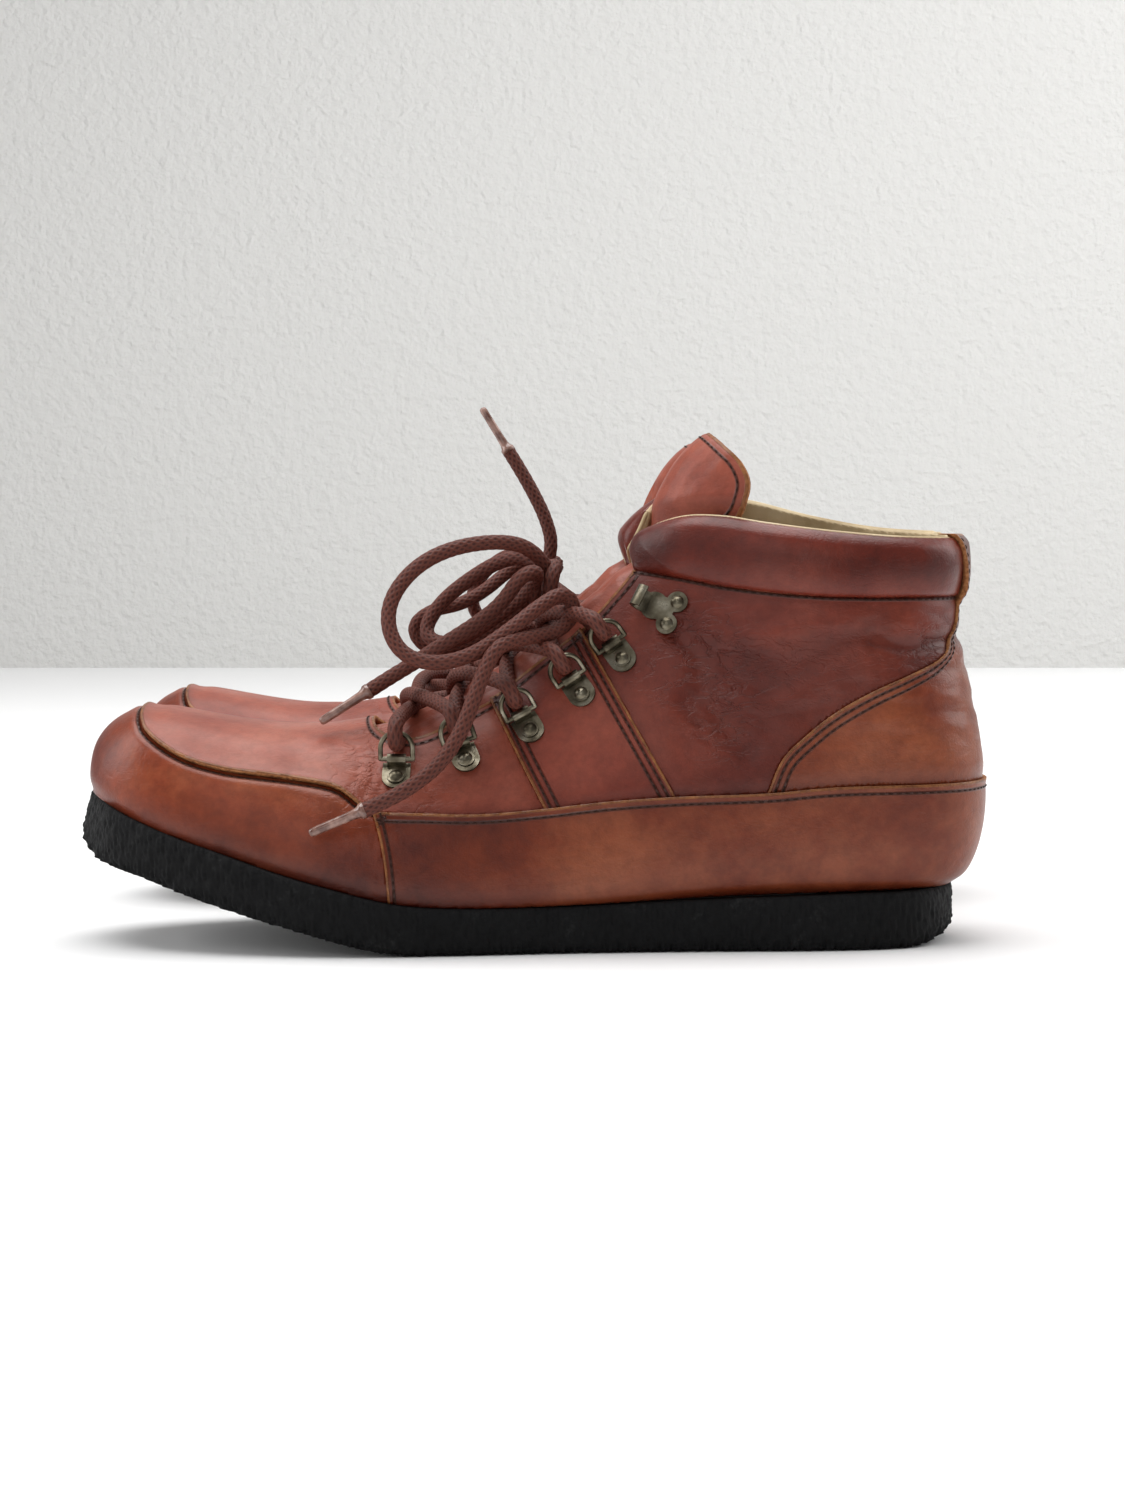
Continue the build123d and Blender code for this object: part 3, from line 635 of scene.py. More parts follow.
def leather(name, base, dark, light, roughness, coat):
    """Waxed leather: blotchy colour, painted shade in the folds and painted light on high spots,
    fine pores, creases.
    """
    look = Look(name, Specular_IOR_Level=0.3, Coat_Weight=coat, Coat_Roughness=0.27)
    blotch, broad = look.noise(26.0, 5.0, 0.62), look.noise(9.0)
    mixed = look.maths("MULTIPLY", look.maths("ADD", blotch, broad), 0.5)
    colour = look.ramp(mixed, (0.38, dark), (0.5, base), (0.64, light))
    # A darker copy of the colour is mixed in by the tone attribute: the leather's own tone plus
    # painted shade and painted light.
    darker = look.mix(0.62, colour, (*[c * 1.2 for c in dark], 1), "MULTIPLY")
    shaded_and_toned = look.mix(look.spread(look.attribute("tone"), -1.0, 1.0, 0.0, 1.0), darker, colour)
    streak = look.noise(240.0, 4.0, 0.7)
    fine = look.ramp(streak, (0.35, (0.8, 0.78, 0.76)), (0.62, (1.06, 1.05, 1.05)))
    final = look.mix(0.8, shaded_and_toned, fine, "MULTIPLY")
    groove, rim = seam_masks(look)
    # Painted shadow in the stitched grooves.
    groove_shadowed = look.mix(groove, final, THREAD_SHADOW)
    fibre = look.ramp(streak, (0.3, (0.11, 0.03, 0.008)), (0.7, (0.32, 0.12, 0.034)))
    gloss = look.spread(blotch, 0.3, 0.7, roughness + 0.1, roughness - 0.06)
    pores = look.add("TexVoronoi", {"Vector": look.where, "Scale": 1500.0}).outputs["Distance"]
    grain = look.maths("ADD", look.maths("MULTIPLY", pores, 0.35), look.noise(420.0, 6.0, 0.65))
    normal = look.bump(grain, 0.22, 0.0006)
    slanted = look.add("Mapping", {"Vector": look.where, "Scale": (1.0, 1.0, 2.2),
                                   "Rotation": (0.0, 0.5, 0.0)}).outputs["Vector"]
    crumple = look.maths("SUBTRACT", look.noise(120.0, 4.0, distortion=0.6, where=slanted), 0.5)
    valley = look.spread(look.maths("ABSOLUTE", crumple), 0.0, 0.07, 0.0, 1.0, "SMOOTHSTEP")
    lines = look.maths("MULTIPLY", valley, look.attribute("crease"))
    normal = look.bump(lines, 0.7, 0.0007, normal)
    normal = look.bump(groove, 1.0, 0.0005, normal, invert=True)
    normal = look.bump(rim, 0.8, 0.0004, normal, invert=True)
    return look.paint(look.mix(rim, groove_shadowed, fibre), normal, gloss)


def raw_edge(name):
    """The cut edge and flesh side of the leather: orange-brown and fibrous."""
    look = Look(name, Roughness=0.75)
    fibre = look.noise(900.0, 5.0)
    colour = look.ramp(fibre, (0.3, (0.15, 0.048, 0.013)), (0.5, (0.34, 0.125, 0.036)),
                       (0.72, (0.5, 0.22, 0.08)))
    return look.paint(colour, look.bump(fibre, 0.6, 0.0004))


def woven(name, dark, light):
    """Waxed round lace: colour follows the braid's relief, with painted shade between the strands
    and painted highlight on their tops.
    """
    look = Look(name, Roughness=0.62, Specular_IOR_Level=0.35)
    fuzz = look.noise(1400.0, 3.0)
    mixed = look.maths("ADD", look.attribute("weave"), fuzz)
    return look.paint(look.ramp(mixed, (0.45, dark), (1.0, light)),
                      look.bump(fuzz, 0.5, 0.0003))


def lining_cloth(name):
    """Soft cream lining leather."""
    look = Look(name, Roughness=0.6)
    colour = look.ramp(look.noise(60.0, 6.0), (0.3, (0.4, 0.29, 0.15)),
                       (0.55, (0.6, 0.47, 0.28)), (0.75, (0.7, 0.58, 0.38)))
    return look.paint(colour, look.bump(look.noise(900.0, 4.0), 0.3, 0.0004))


def antique_brass(name):
    """Aged brass: dark in the hollows, rubbed on the high spots, fine pits."""
    look = Look(name, Metallic=1.0)
    patina = look.noise(190.0, 4.0)
    colour = look.ramp(patina, (0.3, (0.045, 0.038, 0.026)), (0.5, (0.15, 0.13, 0.09)),
                       (0.72, (0.34, 0.31, 0.24)))
    return look.paint(colour, look.bump(look.noise(1500.0, 4.0), 0.12, 0.0002),
                      look.spread(patina, 0.3, 0.7, 0.48, 0.26))


def crepe(name):
    """Black crepe rubber: matt, finely pitted."""
    look = Look(name, Roughness=0.62, Specular_IOR_Level=0.18)
    grit = look.noise(500.0, 8.0, 0.75)
    both = look.maths("MULTIPLY", grit, look.noise(70.0, 6.0))
    colour = look.ramp(both, (0.16, (0.003, 0.003, 0.0035)), (0.32, (0.0045, 0.0045, 0.005)),
                       (0.5, (0.03, 0.03, 0.03)))
    return look.paint(colour, look.bump(grit, 0.8, 0.0008))


def thread(name):
    """Waxed dark brown sewing thread."""
    look = Look(name, Roughness=0.8, Specular_IOR_Level=0.2)
    return look.paint(look.ramp(look.noise(2200.0), (0.35, (0.014, 0.005, 0.003)),
                                (0.65, (0.055, 0.02, 0.012))))


def clear_tip(name):
    """The laces' moulded tips: pinkish brown, half clear."""
    look = Look(name, Roughness=0.22, Coat_Weight=0.5)
    return look.paint(look.ramp(look.noise(300.0, 3.0), (0.35, (0.12, 0.048, 0.034)),
                                (0.65, (0.33, 0.19, 0.15))))


def plaster(name, colour, bump_scale, strength):
    """Pale painted surface with a slight texture."""
    look = Look(name, Base_Color=(*colour, 1), Roughness=0.8)
    return look.paint(normal=look.bump(look.noise(bump_scale, 5.0), strength, 0.004))


UPPER = leather("upper_leather", (0.225, 0.036, 0.018), (0.125, 0.017, 0.009),
                (0.34, 0.074, 0.041), roughness=0.43, coat=0.12)
# A lighter, pinker copy of the upper leather for the vamp and tongue: painted highlight of the top
# light.
PAINTED_HIGHLIGHT_LEATHER = leather("apron_leather", (0.33, 0.08, 0.045), (0.22, 0.042, 0.023),
                (0.43, 0.14, 0.088), roughness=0.44, coat=0.12)
BURNISHED = leather("burnished_leather", (0.235, 0.041, 0.012), (0.11, 0.013, 0.004),
                    (0.41, 0.115, 0.046), roughness=0.38, coat=0.16)
COLLAR_SKIN = leather("collar_leather", (0.185, 0.025, 0.012), (0.085, 0.009, 0.005),
                      (0.29, 0.058, 0.033), roughness=0.37, coat=0.16)
RAW = raw_edge("raw_edge")
LACE = woven("lace_cotton", (0.055, 0.012, 0.0075), (0.12, 0.03, 0.018))
CREAM = lining_cloth("lining_leather")
BRASS = antique_brass("antique_brass")
CREPE = crepe("crepe_rubber")
THREAD = thread("thread")
TIP = clear_tip("aglet_plastic")
BOARD = raw_edge("fibreboard")


# ---------------------------------------------------------------- camera, light, room
CAMERA_PLACE = (0.0105, -1.027, 0.137)
CAMERA_TILT = math.radians(4.42)  # how far the camera looks down
LENS = 69.84  # for a 36 mm tall sensor
WALL_Y = 1.78
FLOOR_Z = -0.0004
ROOM_REACH, ROOM_HEIGHT = 4.0, 3.0
LIGHTS = [  # name, place, aim, size, watts
    ("top", (-0.1, 0.15, 1.5), (0, 0, 0.05), (1.7, 1.3), 30),
    ("left", (-1.5, 0.0, 0.75), (0, 0, 0.08), (0.9, 1.1), 11),
    ("right", (1.5, 0.35, 0.8), (0.05, 0, 0.08), (0.9, 1.1), 9),
    ("front", (-0.5, -1.9, 0.9), (0, 0, 0.08), (1.2, 0.9), 4),
    ("wall_wash", (1.3, 0.9, 1.2), (1.0, WALL_Y, 0.5), (0.8, 0.6), 12),
]


def camera():
    """The camera at the outer side of the left boot, a little above it."""
    data = bpy.data.cameras.new("camera")
    data.sensor_fit = "VERTICAL"
    data.sensor_height = 36.0
    data.lens = LENS
    made = bpy.data.objects.new("camera", data)
    made.location = CAMERA_PLACE
    made.rotation_euler = (math.pi / 2 - CAMERA_TILT, 0, 0)
    bpy.context.scene.collection.objects.link(made)
    bpy.context.scene.camera = made


def area_light(name, place, aim, size, power):
    """A soft box pointed at a place."""
    data = bpy.data.lights.new(name, "AREA")
    data.shape = "RECTANGLE"
    data.size, data.size_y = size
    data.energy = power
    made = bpy.data.objects.new(name, data)
    made.location = place
    made.rotation_euler = (Vector(aim) - Vector(place)).to_track_quat("-Z", "Y").to_euler()
    bpy.context.scene.collection.objects.link(made)


def stage_plane(name, corners, material):
    """A flat piece of the room."""
    mesh = bpy.data.meshes.new(name)
    mesh.from_pydata(corners, [], [(0, 1, 2, 3)])
    mesh.materials.append(material)
    made = bpy.data.objects.new(name, mesh)
    bpy.context.scene.collection.objects.link(made)


def room():
    """Pale floor and wall, and soft studio light."""
    far = ROOM_REACH
    floor = plaster("stage_floor", (0.86, 0.86, 0.86), 40, 0.05)
    wall = plaster("stage_wall", (0.6, 0.595, 0.58), 130, 0.9)
    stage_plane("stage_floor", [(-far, -far, FLOOR_Z), (far, -far, FLOOR_Z),
                                (far, WALL_Y, FLOOR_Z), (-far, WALL_Y, FLOOR_Z)], floor)
    stage_plane("stage_wall", [(-far, WALL_Y, FLOOR_Z), (far, WALL_Y, FLOOR_Z),
                               (far, WALL_Y, ROOM_HEIGHT), (-far, WALL_Y, ROOM_HEIGHT)], wall)
    world = bpy.data.worlds.new("world")
    world.use_nodes = True
    world.node_tree.nodes["Background"].inputs["Color"].default_value = (1, 1, 1, 1)
    world.node_tree.nodes["Background"].inputs["Strength"].default_value = 0.24
    bpy.context.scene.world = world
    for light in LIGHTS:
        area_light(*light)
    bpy.context.scene.view_settings.view_transform = "Standard"
    bpy.context.scene.view_settings.look = "None"


camera()
room()

# ---------------------------------------------------------------- laces
LACE_D = 5.0
BRAID_DEPTH = 0.2
BRAID_STRANDS = 16
BRAID_PITCH = 9.0
BRAID_TURNS = 3
LACE_AROUND = 48
LACE_STEP = 0.36
KNOT = (158, -1, 118)

# Free halves of the laces, as in the CAD, in boot millimetres
ENDS = {
    "left_lace_end_a": [
        (156, -4, 123), (152, -9, 129), (142, -15, 132), (126, -22, 130), (114, -27, 124),
        (106, -32, 114), (105, -36, 104), (110, -39, 95.5), (120, -41, 92.5),
        (132, -40, 95), (144, -35, 103), (154, -27, 111), (162, -20, 115.5),
        (166, -18, 109), (160, -22, 102), (150, -32, 101), (140.5, -39, 99),
        (136, -43, 90), (132.5, -47, 80), (129, -49, 71), (123, -52.5, 62),
        (115, -55.5, 55.5), (106.3, -56.5, 50.5), (98, -56.5, 47)],
    "left_lace_end_b": [
        (156, 3, 123), (150, 7, 127), (140, 12, 125), (130, 15, 119), (120, 16, 111),
        (114, 14, 101), (120, 10, 96.5), (130, 6, 100), (140, 1, 107), (150, -5, 114.5),
        (154, -13, 122), (148, -19, 121), (142, -20, 112), (134.8, -20, 106),
        (127, -19, 101), (119, -17, 96), (112, -15.5, 91.5), (104, -15, 86.7),
        (97, -16.5, 82.2)],
    "right_lace_end_a": [
        (156, -4, 123), (148, -8, 125), (140, -12, 119), (133, -16, 113),
        (124, -19, 108), (113, -19, 106), (106, -18, 100), (110, -18, 92.5),
        (120, -17, 91), (132, -14, 96), (144, -9, 105), (153, -6, 116), (158, -6, 129),
        (155, -5, 140), (150.5, -4, 149), (146, -3, 157), (141, -2, 165)],
    "right_lace_end_b": [
        (156, 3, 123), (150, 8, 127), (140, 14, 126), (131, 20, 119), (126, 25, 109),
        (130, 30, 100), (141, 32, 97), (152, 30, 103), (160, 24, 112), (164, 20, 104),
        (156, 26, 97), (147, 35, 92), (140, 41, 84), (134, 46, 75), (127, 49, 66),
        (118, 53, 60), (109, 55, 57)],
}
CROSSINGS = [(112, 77.3), (126.5, 84.5), (141.5, 94), (154.5, 103.8)]
CROSS_UP = (-0.55, 0.83)
OVER_RING = [(5.0, 3.0), (9.4, 4.6), (12.9, 0.6)]  # along and off the ring, from its axis
UNDER_RING = (4.6, -4.8)
UNDER_STRAND = 0.2
OVER_STRAND = 5.8


def spline_line(points):
    """The smooth line of a route of control points, in metres."""
    data = bpy.data.curves.new("route", "CURVE")
    data.dimensions = "3D"
    spline = data.splines.new("NURBS")
    spline.points.add(len(points) - 1)
    for spot, point in zip(spline.points, points):
        spot.co = (*point, 1)
    spline.order_u = 3
    spline.use_endpoint_u = True
    data.resolution_u = 12
    holder = bpy.data.objects.new("route", data)
    bpy.context.scene.collection.objects.link(holder)
    mesh = bpy.data.meshes.new_from_object(holder.evaluated_get(
        bpy.context.evaluated_depsgraph_get()))
    line = np.array([v.co[:] for v in mesh.vertices])
    bpy.data.objects.remove(holder)
    bpy.data.curves.remove(data)
    bpy.data.meshes.remove(mesh)
    return line


def braid(line):
    """Rings of points of a round braided lace along a line, in metres, and its weave."""
    walked = walk(line)
    count = int(walked[-1] / (LACE_STEP * MM)) + 2
    goals = np.linspace(0, walked[-1], count)
    path = spots_at(goals, walked, line)
    for _ in range(3):
        path[1:-1] = (path[:-2] + 2 * path[1:-1] + path[2:]) / 4
    way = unit(np.gradient(path, axis=0))
    across = np.zeros_like(way)
    across[0] = unit(np.cross(way[0], [0.3, 0.2, 1.0]))
    for i in range(1, count):
        across[i] = unit(across[i - 1] - way[i] * (across[i - 1] @ way[i]))
    other = np.cross(way, across)
    angle = np.linspace(0, 2 * math.pi, LACE_AROUND, endpoint=False)
    s = goals[:, None] / (BRAID_PITCH * MM) * 2 * math.pi
    strands = angle[None] * BRAID_STRANDS / 2
    weave = np.maximum(np.cos(strands + s * BRAID_TURNS), np.cos(strands - s * BRAID_TURNS))
    r = (LACE_D / 2 - BRAID_DEPTH + BRAID_DEPTH * weave) * MM
    points = (path[:, None] + r[..., None] * (across[:, None] * np.cos(angle)[None, :, None]
                                              + other[:, None] * np.sin(angle)[None, :, None]))
    return points, weave, path


def lace_mesh(name, boot, points, weave, rides=True):
    """A closed piece of braided lace, with flat ends."""
    made = make_mesh(name, boot, points.reshape(-1, 3), tube_faces(*weave.shape), [LACE],
                     attributes={"weave": (weave.reshape(-1) + 0.4) * 0.5}, in_boot=False,
                     rides=rides)
    for end in made.data.polygons[-2:]:
        end.use_smooth = False
    return made


def braided_tube(name, boot, line):
    """A whole lace along a line, on the boot's body."""
    points, weave, path = braid(line)
    return lace_mesh(name, boot, points, weave), path


def ring_frame(boot, word, number):
    """A D-ring's hinge point, the way it reaches and the way off the boot."""
    name = f"{boot.name}_ring_{word}_{number}"
    joint = next(j for j in frame["joints"] if j["name"] == name + "_swing")
    hinge = Vector(joint["pos_m"])
    axis = Vector(joint["axis"]).normalized() * boot.mirror
    mesh = frame["nodes"][name].data
    centre = sum((face.center * face.area for face in mesh.polygons), Vector())
    centre /= sum(face.area for face in mesh.polygons)
    reach = frame["nodes"][name].matrix_world @ centre - hinge
    reach = (reach - axis * reach.dot(axis)).normalized()
    return hinge, reach, axis.cross(reach)


def ring_pass(boot, word, number, over_last):
    """Points of the lacing through one D-ring, read from the ring's hinge."""
    hinge, reach, up = ring_frame(boot, word, number)
    over = [hinge + (reach * out + up * rise) * MM for out, rise in OVER_RING]
    under = hinge + (reach * UNDER_RING[0] + up * UNDER_RING[1]) * MM
    return [under] + over if over_last else over[::-1] + [under]


def lacing_route(boot):
    """The held lace: from the knot down through the rings, across row one and back up."""
    up = Vector((CROSS_UP[0], 0, CROSS_UP[1])).normalized()
    halves = []
    for side in ("outer", "inner"):
        half = []
        for number in range(5, 0, -1):
            word = side if (5 - number) % 2 == 0 else ("inner" if side == "outer" else "outer")
            if number < 5:
                x, z = CROSSINGS[number - 1]
                over = (number % 2 == 0) == (side == "outer")
                lift = OVER_STRAND if over else UNDER_STRAND
                spot = Vector((x, 0, z)) + up * lift
                half.append(Vector(boot.place([spot])[0]))
            half.extend(ring_pass(boot, word, number, over_last=number != 1))
        halves.append(half)
    start = Vector(boot.place([Vector(KNOT) + Vector((-1, -5, -3))])[0])
    end = Vector(boot.place([Vector(KNOT) + Vector((-1, 5, -3))])[0])
    return [start] + halves[0] + halves[1][::-1] + [end]


PASS_ORDER = [("outer", 5), ("inner", 4), ("outer", 3), ("inner", 2), ("outer", 1),
              ("inner", 1), ("outer", 2), ("inner", 3), ("outer", 4), ("inner", 5)]


def lace_passes(boot):
    """The held lace, cut where it crosses the tongue's middle into one piece per ring pass."""
    points, weave, path = braid(spline_line(lacing_route(boot)))
    across = np.sign(path[:, 1] - boot.y * MM)
    cuts = [i + 1 for i in range(len(path) - 1) if across[i] != across[i + 1]]
    assert len(cuts) == len(PASS_ORDER) - 1, cuts
    starts, ends = [0] + cuts, cuts + [len(path) - 1]
    for (word, number), first, last in zip(PASS_ORDER, starts, ends):
        made = lace_mesh(f"lace_pass_{word}_{number}", boot, points[first:last + 1],
                         weave[first:last + 1], rides=False)
        hinge, reach, _ = ring_frame(boot, word, number)
        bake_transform(made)
        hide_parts(f"{boot.name}_lacing")


def knot_route(boot):
    """Two close turns of lace round the knot's middle."""
    points = []
    for turn in np.linspace(0, 4.4 * math.pi, 30):
        x = 158 + 3.0 * math.sin(turn * 0.5) - 1
        points.append(boot.place([(x - 1 + 1.6 * math.cos(turn * 0.9),
                                   -1 + 6.3 * math.cos(turn), 118 + 5.6 * math.sin(turn))])[0])
    return points


AGLET_AROUND = 28
# Along the tip and out from its middle, in millimetres
AGLET_PROFILE = [(-1.2, 0.4), (-1.2, 2.62), (0.2, 2.58), (0.9, 2.0), (2.2, 1.62), (6, 1.5),
                 (12, 1.46), (16.6, 1.42), (17.6, 1.2), (18.0, 0.75), (18.0, 0.1)]


def aglet(boot, letter, path):
    """The moulded tip that grips a lace's end, flaring where the lace goes in."""
    end = path[-1]
    way = unit(path[-1] - path[-6])
    side = unit(np.cross(way, [0.2, 1.0, 0.3]))
    other = np.cross(way, side)
    turn = np.linspace(0, 2 * math.pi, AGLET_AROUND, endpoint=False)
    points = [end + way * t * MM + (side * math.cos(a) + other * math.sin(a)) * r * MM
              for t, r in AGLET_PROFILE for a in turn]
    made = make_mesh(f"aglet_{letter}", boot, np.array(points),
                     tube_faces(len(AGLET_PROFILE), AGLET_AROUND), [TIP], in_boot=False)
    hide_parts(f"{boot.name}_aglets")
    return made


def laces():
    """Every lace of the pair, with its free ends and their tips."""
    for boot in BOOTS:
        lace_passes(boot)
        braided_tube("lace_knot", boot, spline_line(knot_route(boot)))
        for letter in "ab":
            name = f"{boot.name}_lace_end_{letter}"
            points = [((x - BOOT_LENGTH / 2) * MM, (y + boot.y) * MM, z * MM)
                      for x, y, z in ENDS[name]]
            tube, path = braided_tube(f"lace_free_{letter}", boot, spline_line(points))
            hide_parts(name)
            aglet(boot, letter, path)


laces()

# ---------------------------------------------------------------- the upper


def edge_lift(distance, height, width=3.0):
    """A slight rise towards a lapped edge."""
    return height * np.exp(-(np.clip(distance, 0, None) / width) ** 2)


def closest(*distances):
    """Of several signed distances, the one nearest to zero at each point."""
    stack = np.stack(distances)
    return np.take_along_axis(stack, np.abs(stack).argmin(axis=0)[None], axis=0)[0]


def marks(sheet, tone, row_1=99.0, row_2=99.0, edge=99.0):
    """What the leather's shader reads at each point: tone with painted shade and light, stitched
    rows and raw edge.
    """
    fill = np.ones(len(sheet.data))
    x, z = sheet.points()[:, 0], sheet.points()[:, 2]
    patches = [np.exp(-((x - cx) / rx) ** 2 - ((z - cz) / rz) ** 2) * force
               for cx, cz, rx, rz, force in CREASED]
    return {"tone": np.clip(tone, -1, 1), "row_1": fill * row_1, "row_2": fill * row_2,
            "edge": fill * edge, "crease": np.clip(0.06 + sum(patches), 0, 1)}


# Each panel gives its sheet, the height of its outer face and what its shader reads.


def toe_wall():
    sheet = Sheet().keep("feather").keep("lower", above=False).keep("front")
    near, low = -sheet["lower"], sheet["feather"]
    outer = 0.1 + sheet.relief() * 0.7 - edge_lift(near, 1.0, 1.5)
    outer += 0.35 * np.exp(-((near - 3.4) / 1.7) ** 2)
    outer -= edge_lift(low, 1.2, 3.0)
    x = sheet.points()[:, 0]
    # Painted shade: darker towards the sole, painted shadow just under the apron's lapped edge and
    # in a band below it further back.
    tone = (0.95 - 1.5 * np.exp(-(low / 12) ** 2) * ease(x, 20, 60) - 0.5 * np.exp(-(low / 4) ** 2)
            - 0.6 * np.exp(-(near / 1.8) ** 2)
            - 0.5 * ease(x, 60, 90) * np.exp(-((near - 9) / 9) ** 2))
    return sheet, outer, marks(sheet, tone, near - 1.3)


def vamp():
    sheet = Sheet().keep("lower").keep("a").keep("throat").keep("feather")
    near, throat = sheet["lower"], sheet["throat"]
    x, z = sheet.points()[:, 0], sheet.points()[:, 2]
    apron = 1 - ease(x, 98, 101)
    outer = 0.25 + sheet.relief() + apron * edge_lift(near, 0.9, 1.5)
    outer -= 0.3 * np.exp(-((near - 4.5) / 2.2) ** 2)
    outer -= edge_lift(sheet["a"], 0.5, 2.5)
    # Painted shade: darker beside the lower seam and low down behind the apron, and painted shadow
    # along seam A under the quarter's lapped edge.
    tone = 0.75 - 0.7 * np.exp(-(near / 3.0) ** 2)
    tone -= 0.6 * ease(x, 100, 122) * (1 - ease(z, 52, 70))
    tone -= 0.6 * np.exp(-(sheet["a"] / 5) ** 2)
    edge = np.minimum(np.where(x < 100.2, near, 99.0), throat)
    return sheet, outer, marks(sheet, tone, throat - 2.2, 99.0, edge)


def mid_quarter():
    sheet = Sheet().keep("lower").keep("a", above=False).keep("b").keep("throat")
    ahead, behind, throat = -sheet["a"], sheet["b"], sheet["throat"]
    outer = 0.55 + sheet.relief() + edge_lift(ahead, 0.6, 1.6)
    outer += edge_lift(behind, 0.6, 1.6) - edge_lift(sheet["lower"], 0.8, 3.0)
    # Painted shade darker towards the sole; also darker just inside both seams.
    tone = 0.45 - 0.6 * np.exp(-(sheet["lower"] / 9) ** 2)
    tone -= 0.5 * np.exp(-((behind - 3) / 6) ** 2) + 0.4 * np.exp(-((ahead - 3) / 5) ** 2)
    return sheet, outer, marks(sheet, tone, closest(ahead - 1.9, behind - 1.9, throat - 2.2),
                               closest(ahead - 4.3, behind - 4.3),
                               np.minimum(np.minimum(ahead, behind), throat))


def ankle_quarter():
    sheet = Sheet().keep("lower").keep("b", above=False).keep("c").keep("collar", above=False)
    sheet.keep("throat")
    ahead, above, throat = -sheet["b"], -sheet["collar"], sheet["throat"]
    outer = 0.2 + sheet.relief() - edge_lift(ahead, 0.35, 3.0)
    outer -= edge_lift(sheet["lower"], 0.6, 3.0) + edge_lift(above, 0.5, 2.5)
    # Tone follows the folds: painted light on raised leather and painted shade in the folds, darker
    # towards the sole, and painted shadow under the heel counter's lapped edge.
    tone = -0.5 + 0.55 * sheet.relief() - 0.5 * np.exp(-(sheet["lower"] / 9) ** 2)
    tone -= 0.4 * np.exp(-(sheet["c"] / 8) ** 2)
    return sheet, outer, marks(sheet, tone, closest(above - 0.8, throat - 2.2), 99.0, throat)


def heel_counter():
    sheet = Sheet().keep("lower").keep("c", above=False).keep("strip_top")
    inside, z = -sheet["c_true"], sheet.points()[:, 2]
    outer = 0.7 + sheet.relief() * 0.8 + edge_lift(inside, 0.5, 1.6)
    outer -= edge_lift(sheet["lower"], 0.9, 3.0)
    up_strip = ease(sheet["collar"], -4, 3)
    top = sheet["strip_top"]
    outer += up_strip * 2.3 * np.sqrt(np.clip(top / 13, 0, 1)) - 1.2 * (1 - ease(top, 0, 3))
    # Tone follows the folds: painted light on raised leather and painted shade in the folds; darker
    # up the back strip; painted shade towards the sole.
    tone = 0.0 + 0.5 * sheet.relief() - 0.9 * up_strip
    tone -= 0.5 * np.exp(-(sheet["lower"] / 6) ** 2)
    return sheet, outer, marks(sheet, tone, inside - 2.0,
                               np.where(z < STRIP_STARTS, inside - 4.3, 99.0),
                               np.minimum(inside, top))


def foxing_band():
    sheet = Sheet().keep("feather").keep("lower", above=False).keep("front", above=False)
    near, behind, low = -sheet["lower"], -sheet["front"], sheet["feather"]
    outer = 0.75 + sheet.relief() * 0.5 + edge_lift(near, 0.45, 1.4)
    outer += edge_lift(behind, 0.3, 1.4) - edge_lift(low, 1.3, 3.0)
    # Painted shade darker down to the sole; also darker just inside the lower seam.
    tone = -0.1 - 1.0 * np.exp(-(low / 5) ** 2) - 0.3 * np.exp(-((near - 3) / 3) ** 2)
    return sheet, outer, marks(sheet, tone, closest(near - 2.6, behind - 2.2), 99.0,
                               np.minimum(near, behind))


def collar_shape():
    sheet = Sheet().keep("collar").keep("c").keep("top").keep("collar_front")
    low, high = np.clip(sheet["collar"], 0, None), np.clip(sheet["top"], 0, None)
    share = low / (low + high + 1e-6)
    height = low + high
    fullness = np.clip(height / 14, 0.2, 1)
    bulge = np.sqrt(np.clip(4 * share * (1 - share), 0, 1))
    outer = -0.2 + 3.6 * bulge * fullness + 0.25 * sheet.relief()
    outer += 0.25 * wave_noise(sheet.points() * [1, 1, 0.5], 16, 21, 2) * bulge
    outer -= 1.2 * ease(share, 0.8, 1.0)
    outer *= 1 - 0.5 * np.exp(-(sheet["c"] / 3.0) ** 2)
    inner = -2.6 - 2.0 * bulge * fullness
    # Painted highlight along the top of the roll, painted shade across its middle, lighter near the
    # seam.
    tone = np.clip(0.6 * ease(share, 0.55, 0.9) - 0.75 * np.exp(-((share - 0.5) / 0.22) ** 2)
                   + 0.3 * (1 - ease(share, 0, 0.3)), -1, 1)
    return sheet, outer, inner, marks(sheet, tone)


def tongue_shape():
    sheet = Sheet().keep("tongue")
    sheet.keep_where(sheet.points()[:, 0] - 96.0)
    points = sheet.points()
    inside = ease(-sheet["throat"], 0.5, 7)
    leaf = ease(-sheet["top"], 0.5, 8)
    raise_up = np.maximum(inside * 3.6 * (1 - ease(points[:, 2], 112, 128)), leaf * 2.6)
    folds = 0.7 * wave_noise(points * [0.6, 1.6, 0.6], 17, 31, 2)
    outer = -5.5 + raise_up + folds * np.maximum(inside, leaf * 0.4)
    outer -= edge_lift(sheet["tongue"], 0.5, 1.5)
    # Painted highlight on the tongue's leaf, and painted light and shade following the folds.
    tone = 0.25 + 0.75 * leaf + 0.4 * folds
    edge = sheet["tongue"]
    return sheet, outer, marks(sheet, tone, edge - 3.6, 99.0, edge - 0.4)


def lining_shape():
    sheet = Sheet().keep("feather", 3.5).keep("top", 0.6).keep("throat", 3.0)
    points = sheet.points()
    high = ease(points[:, 2], 105, 128)
    gather = wave_noise(points * [1.0, 1.0, 0.2], 13, 41, 2)
    high *= ease(points[:, 0], 216, 236)
    outer = -3.6 - 0.2 * high - high * 1.6 * np.clip(0.5 + 0.6 * gather, 0, 1)
    return sheet, outer


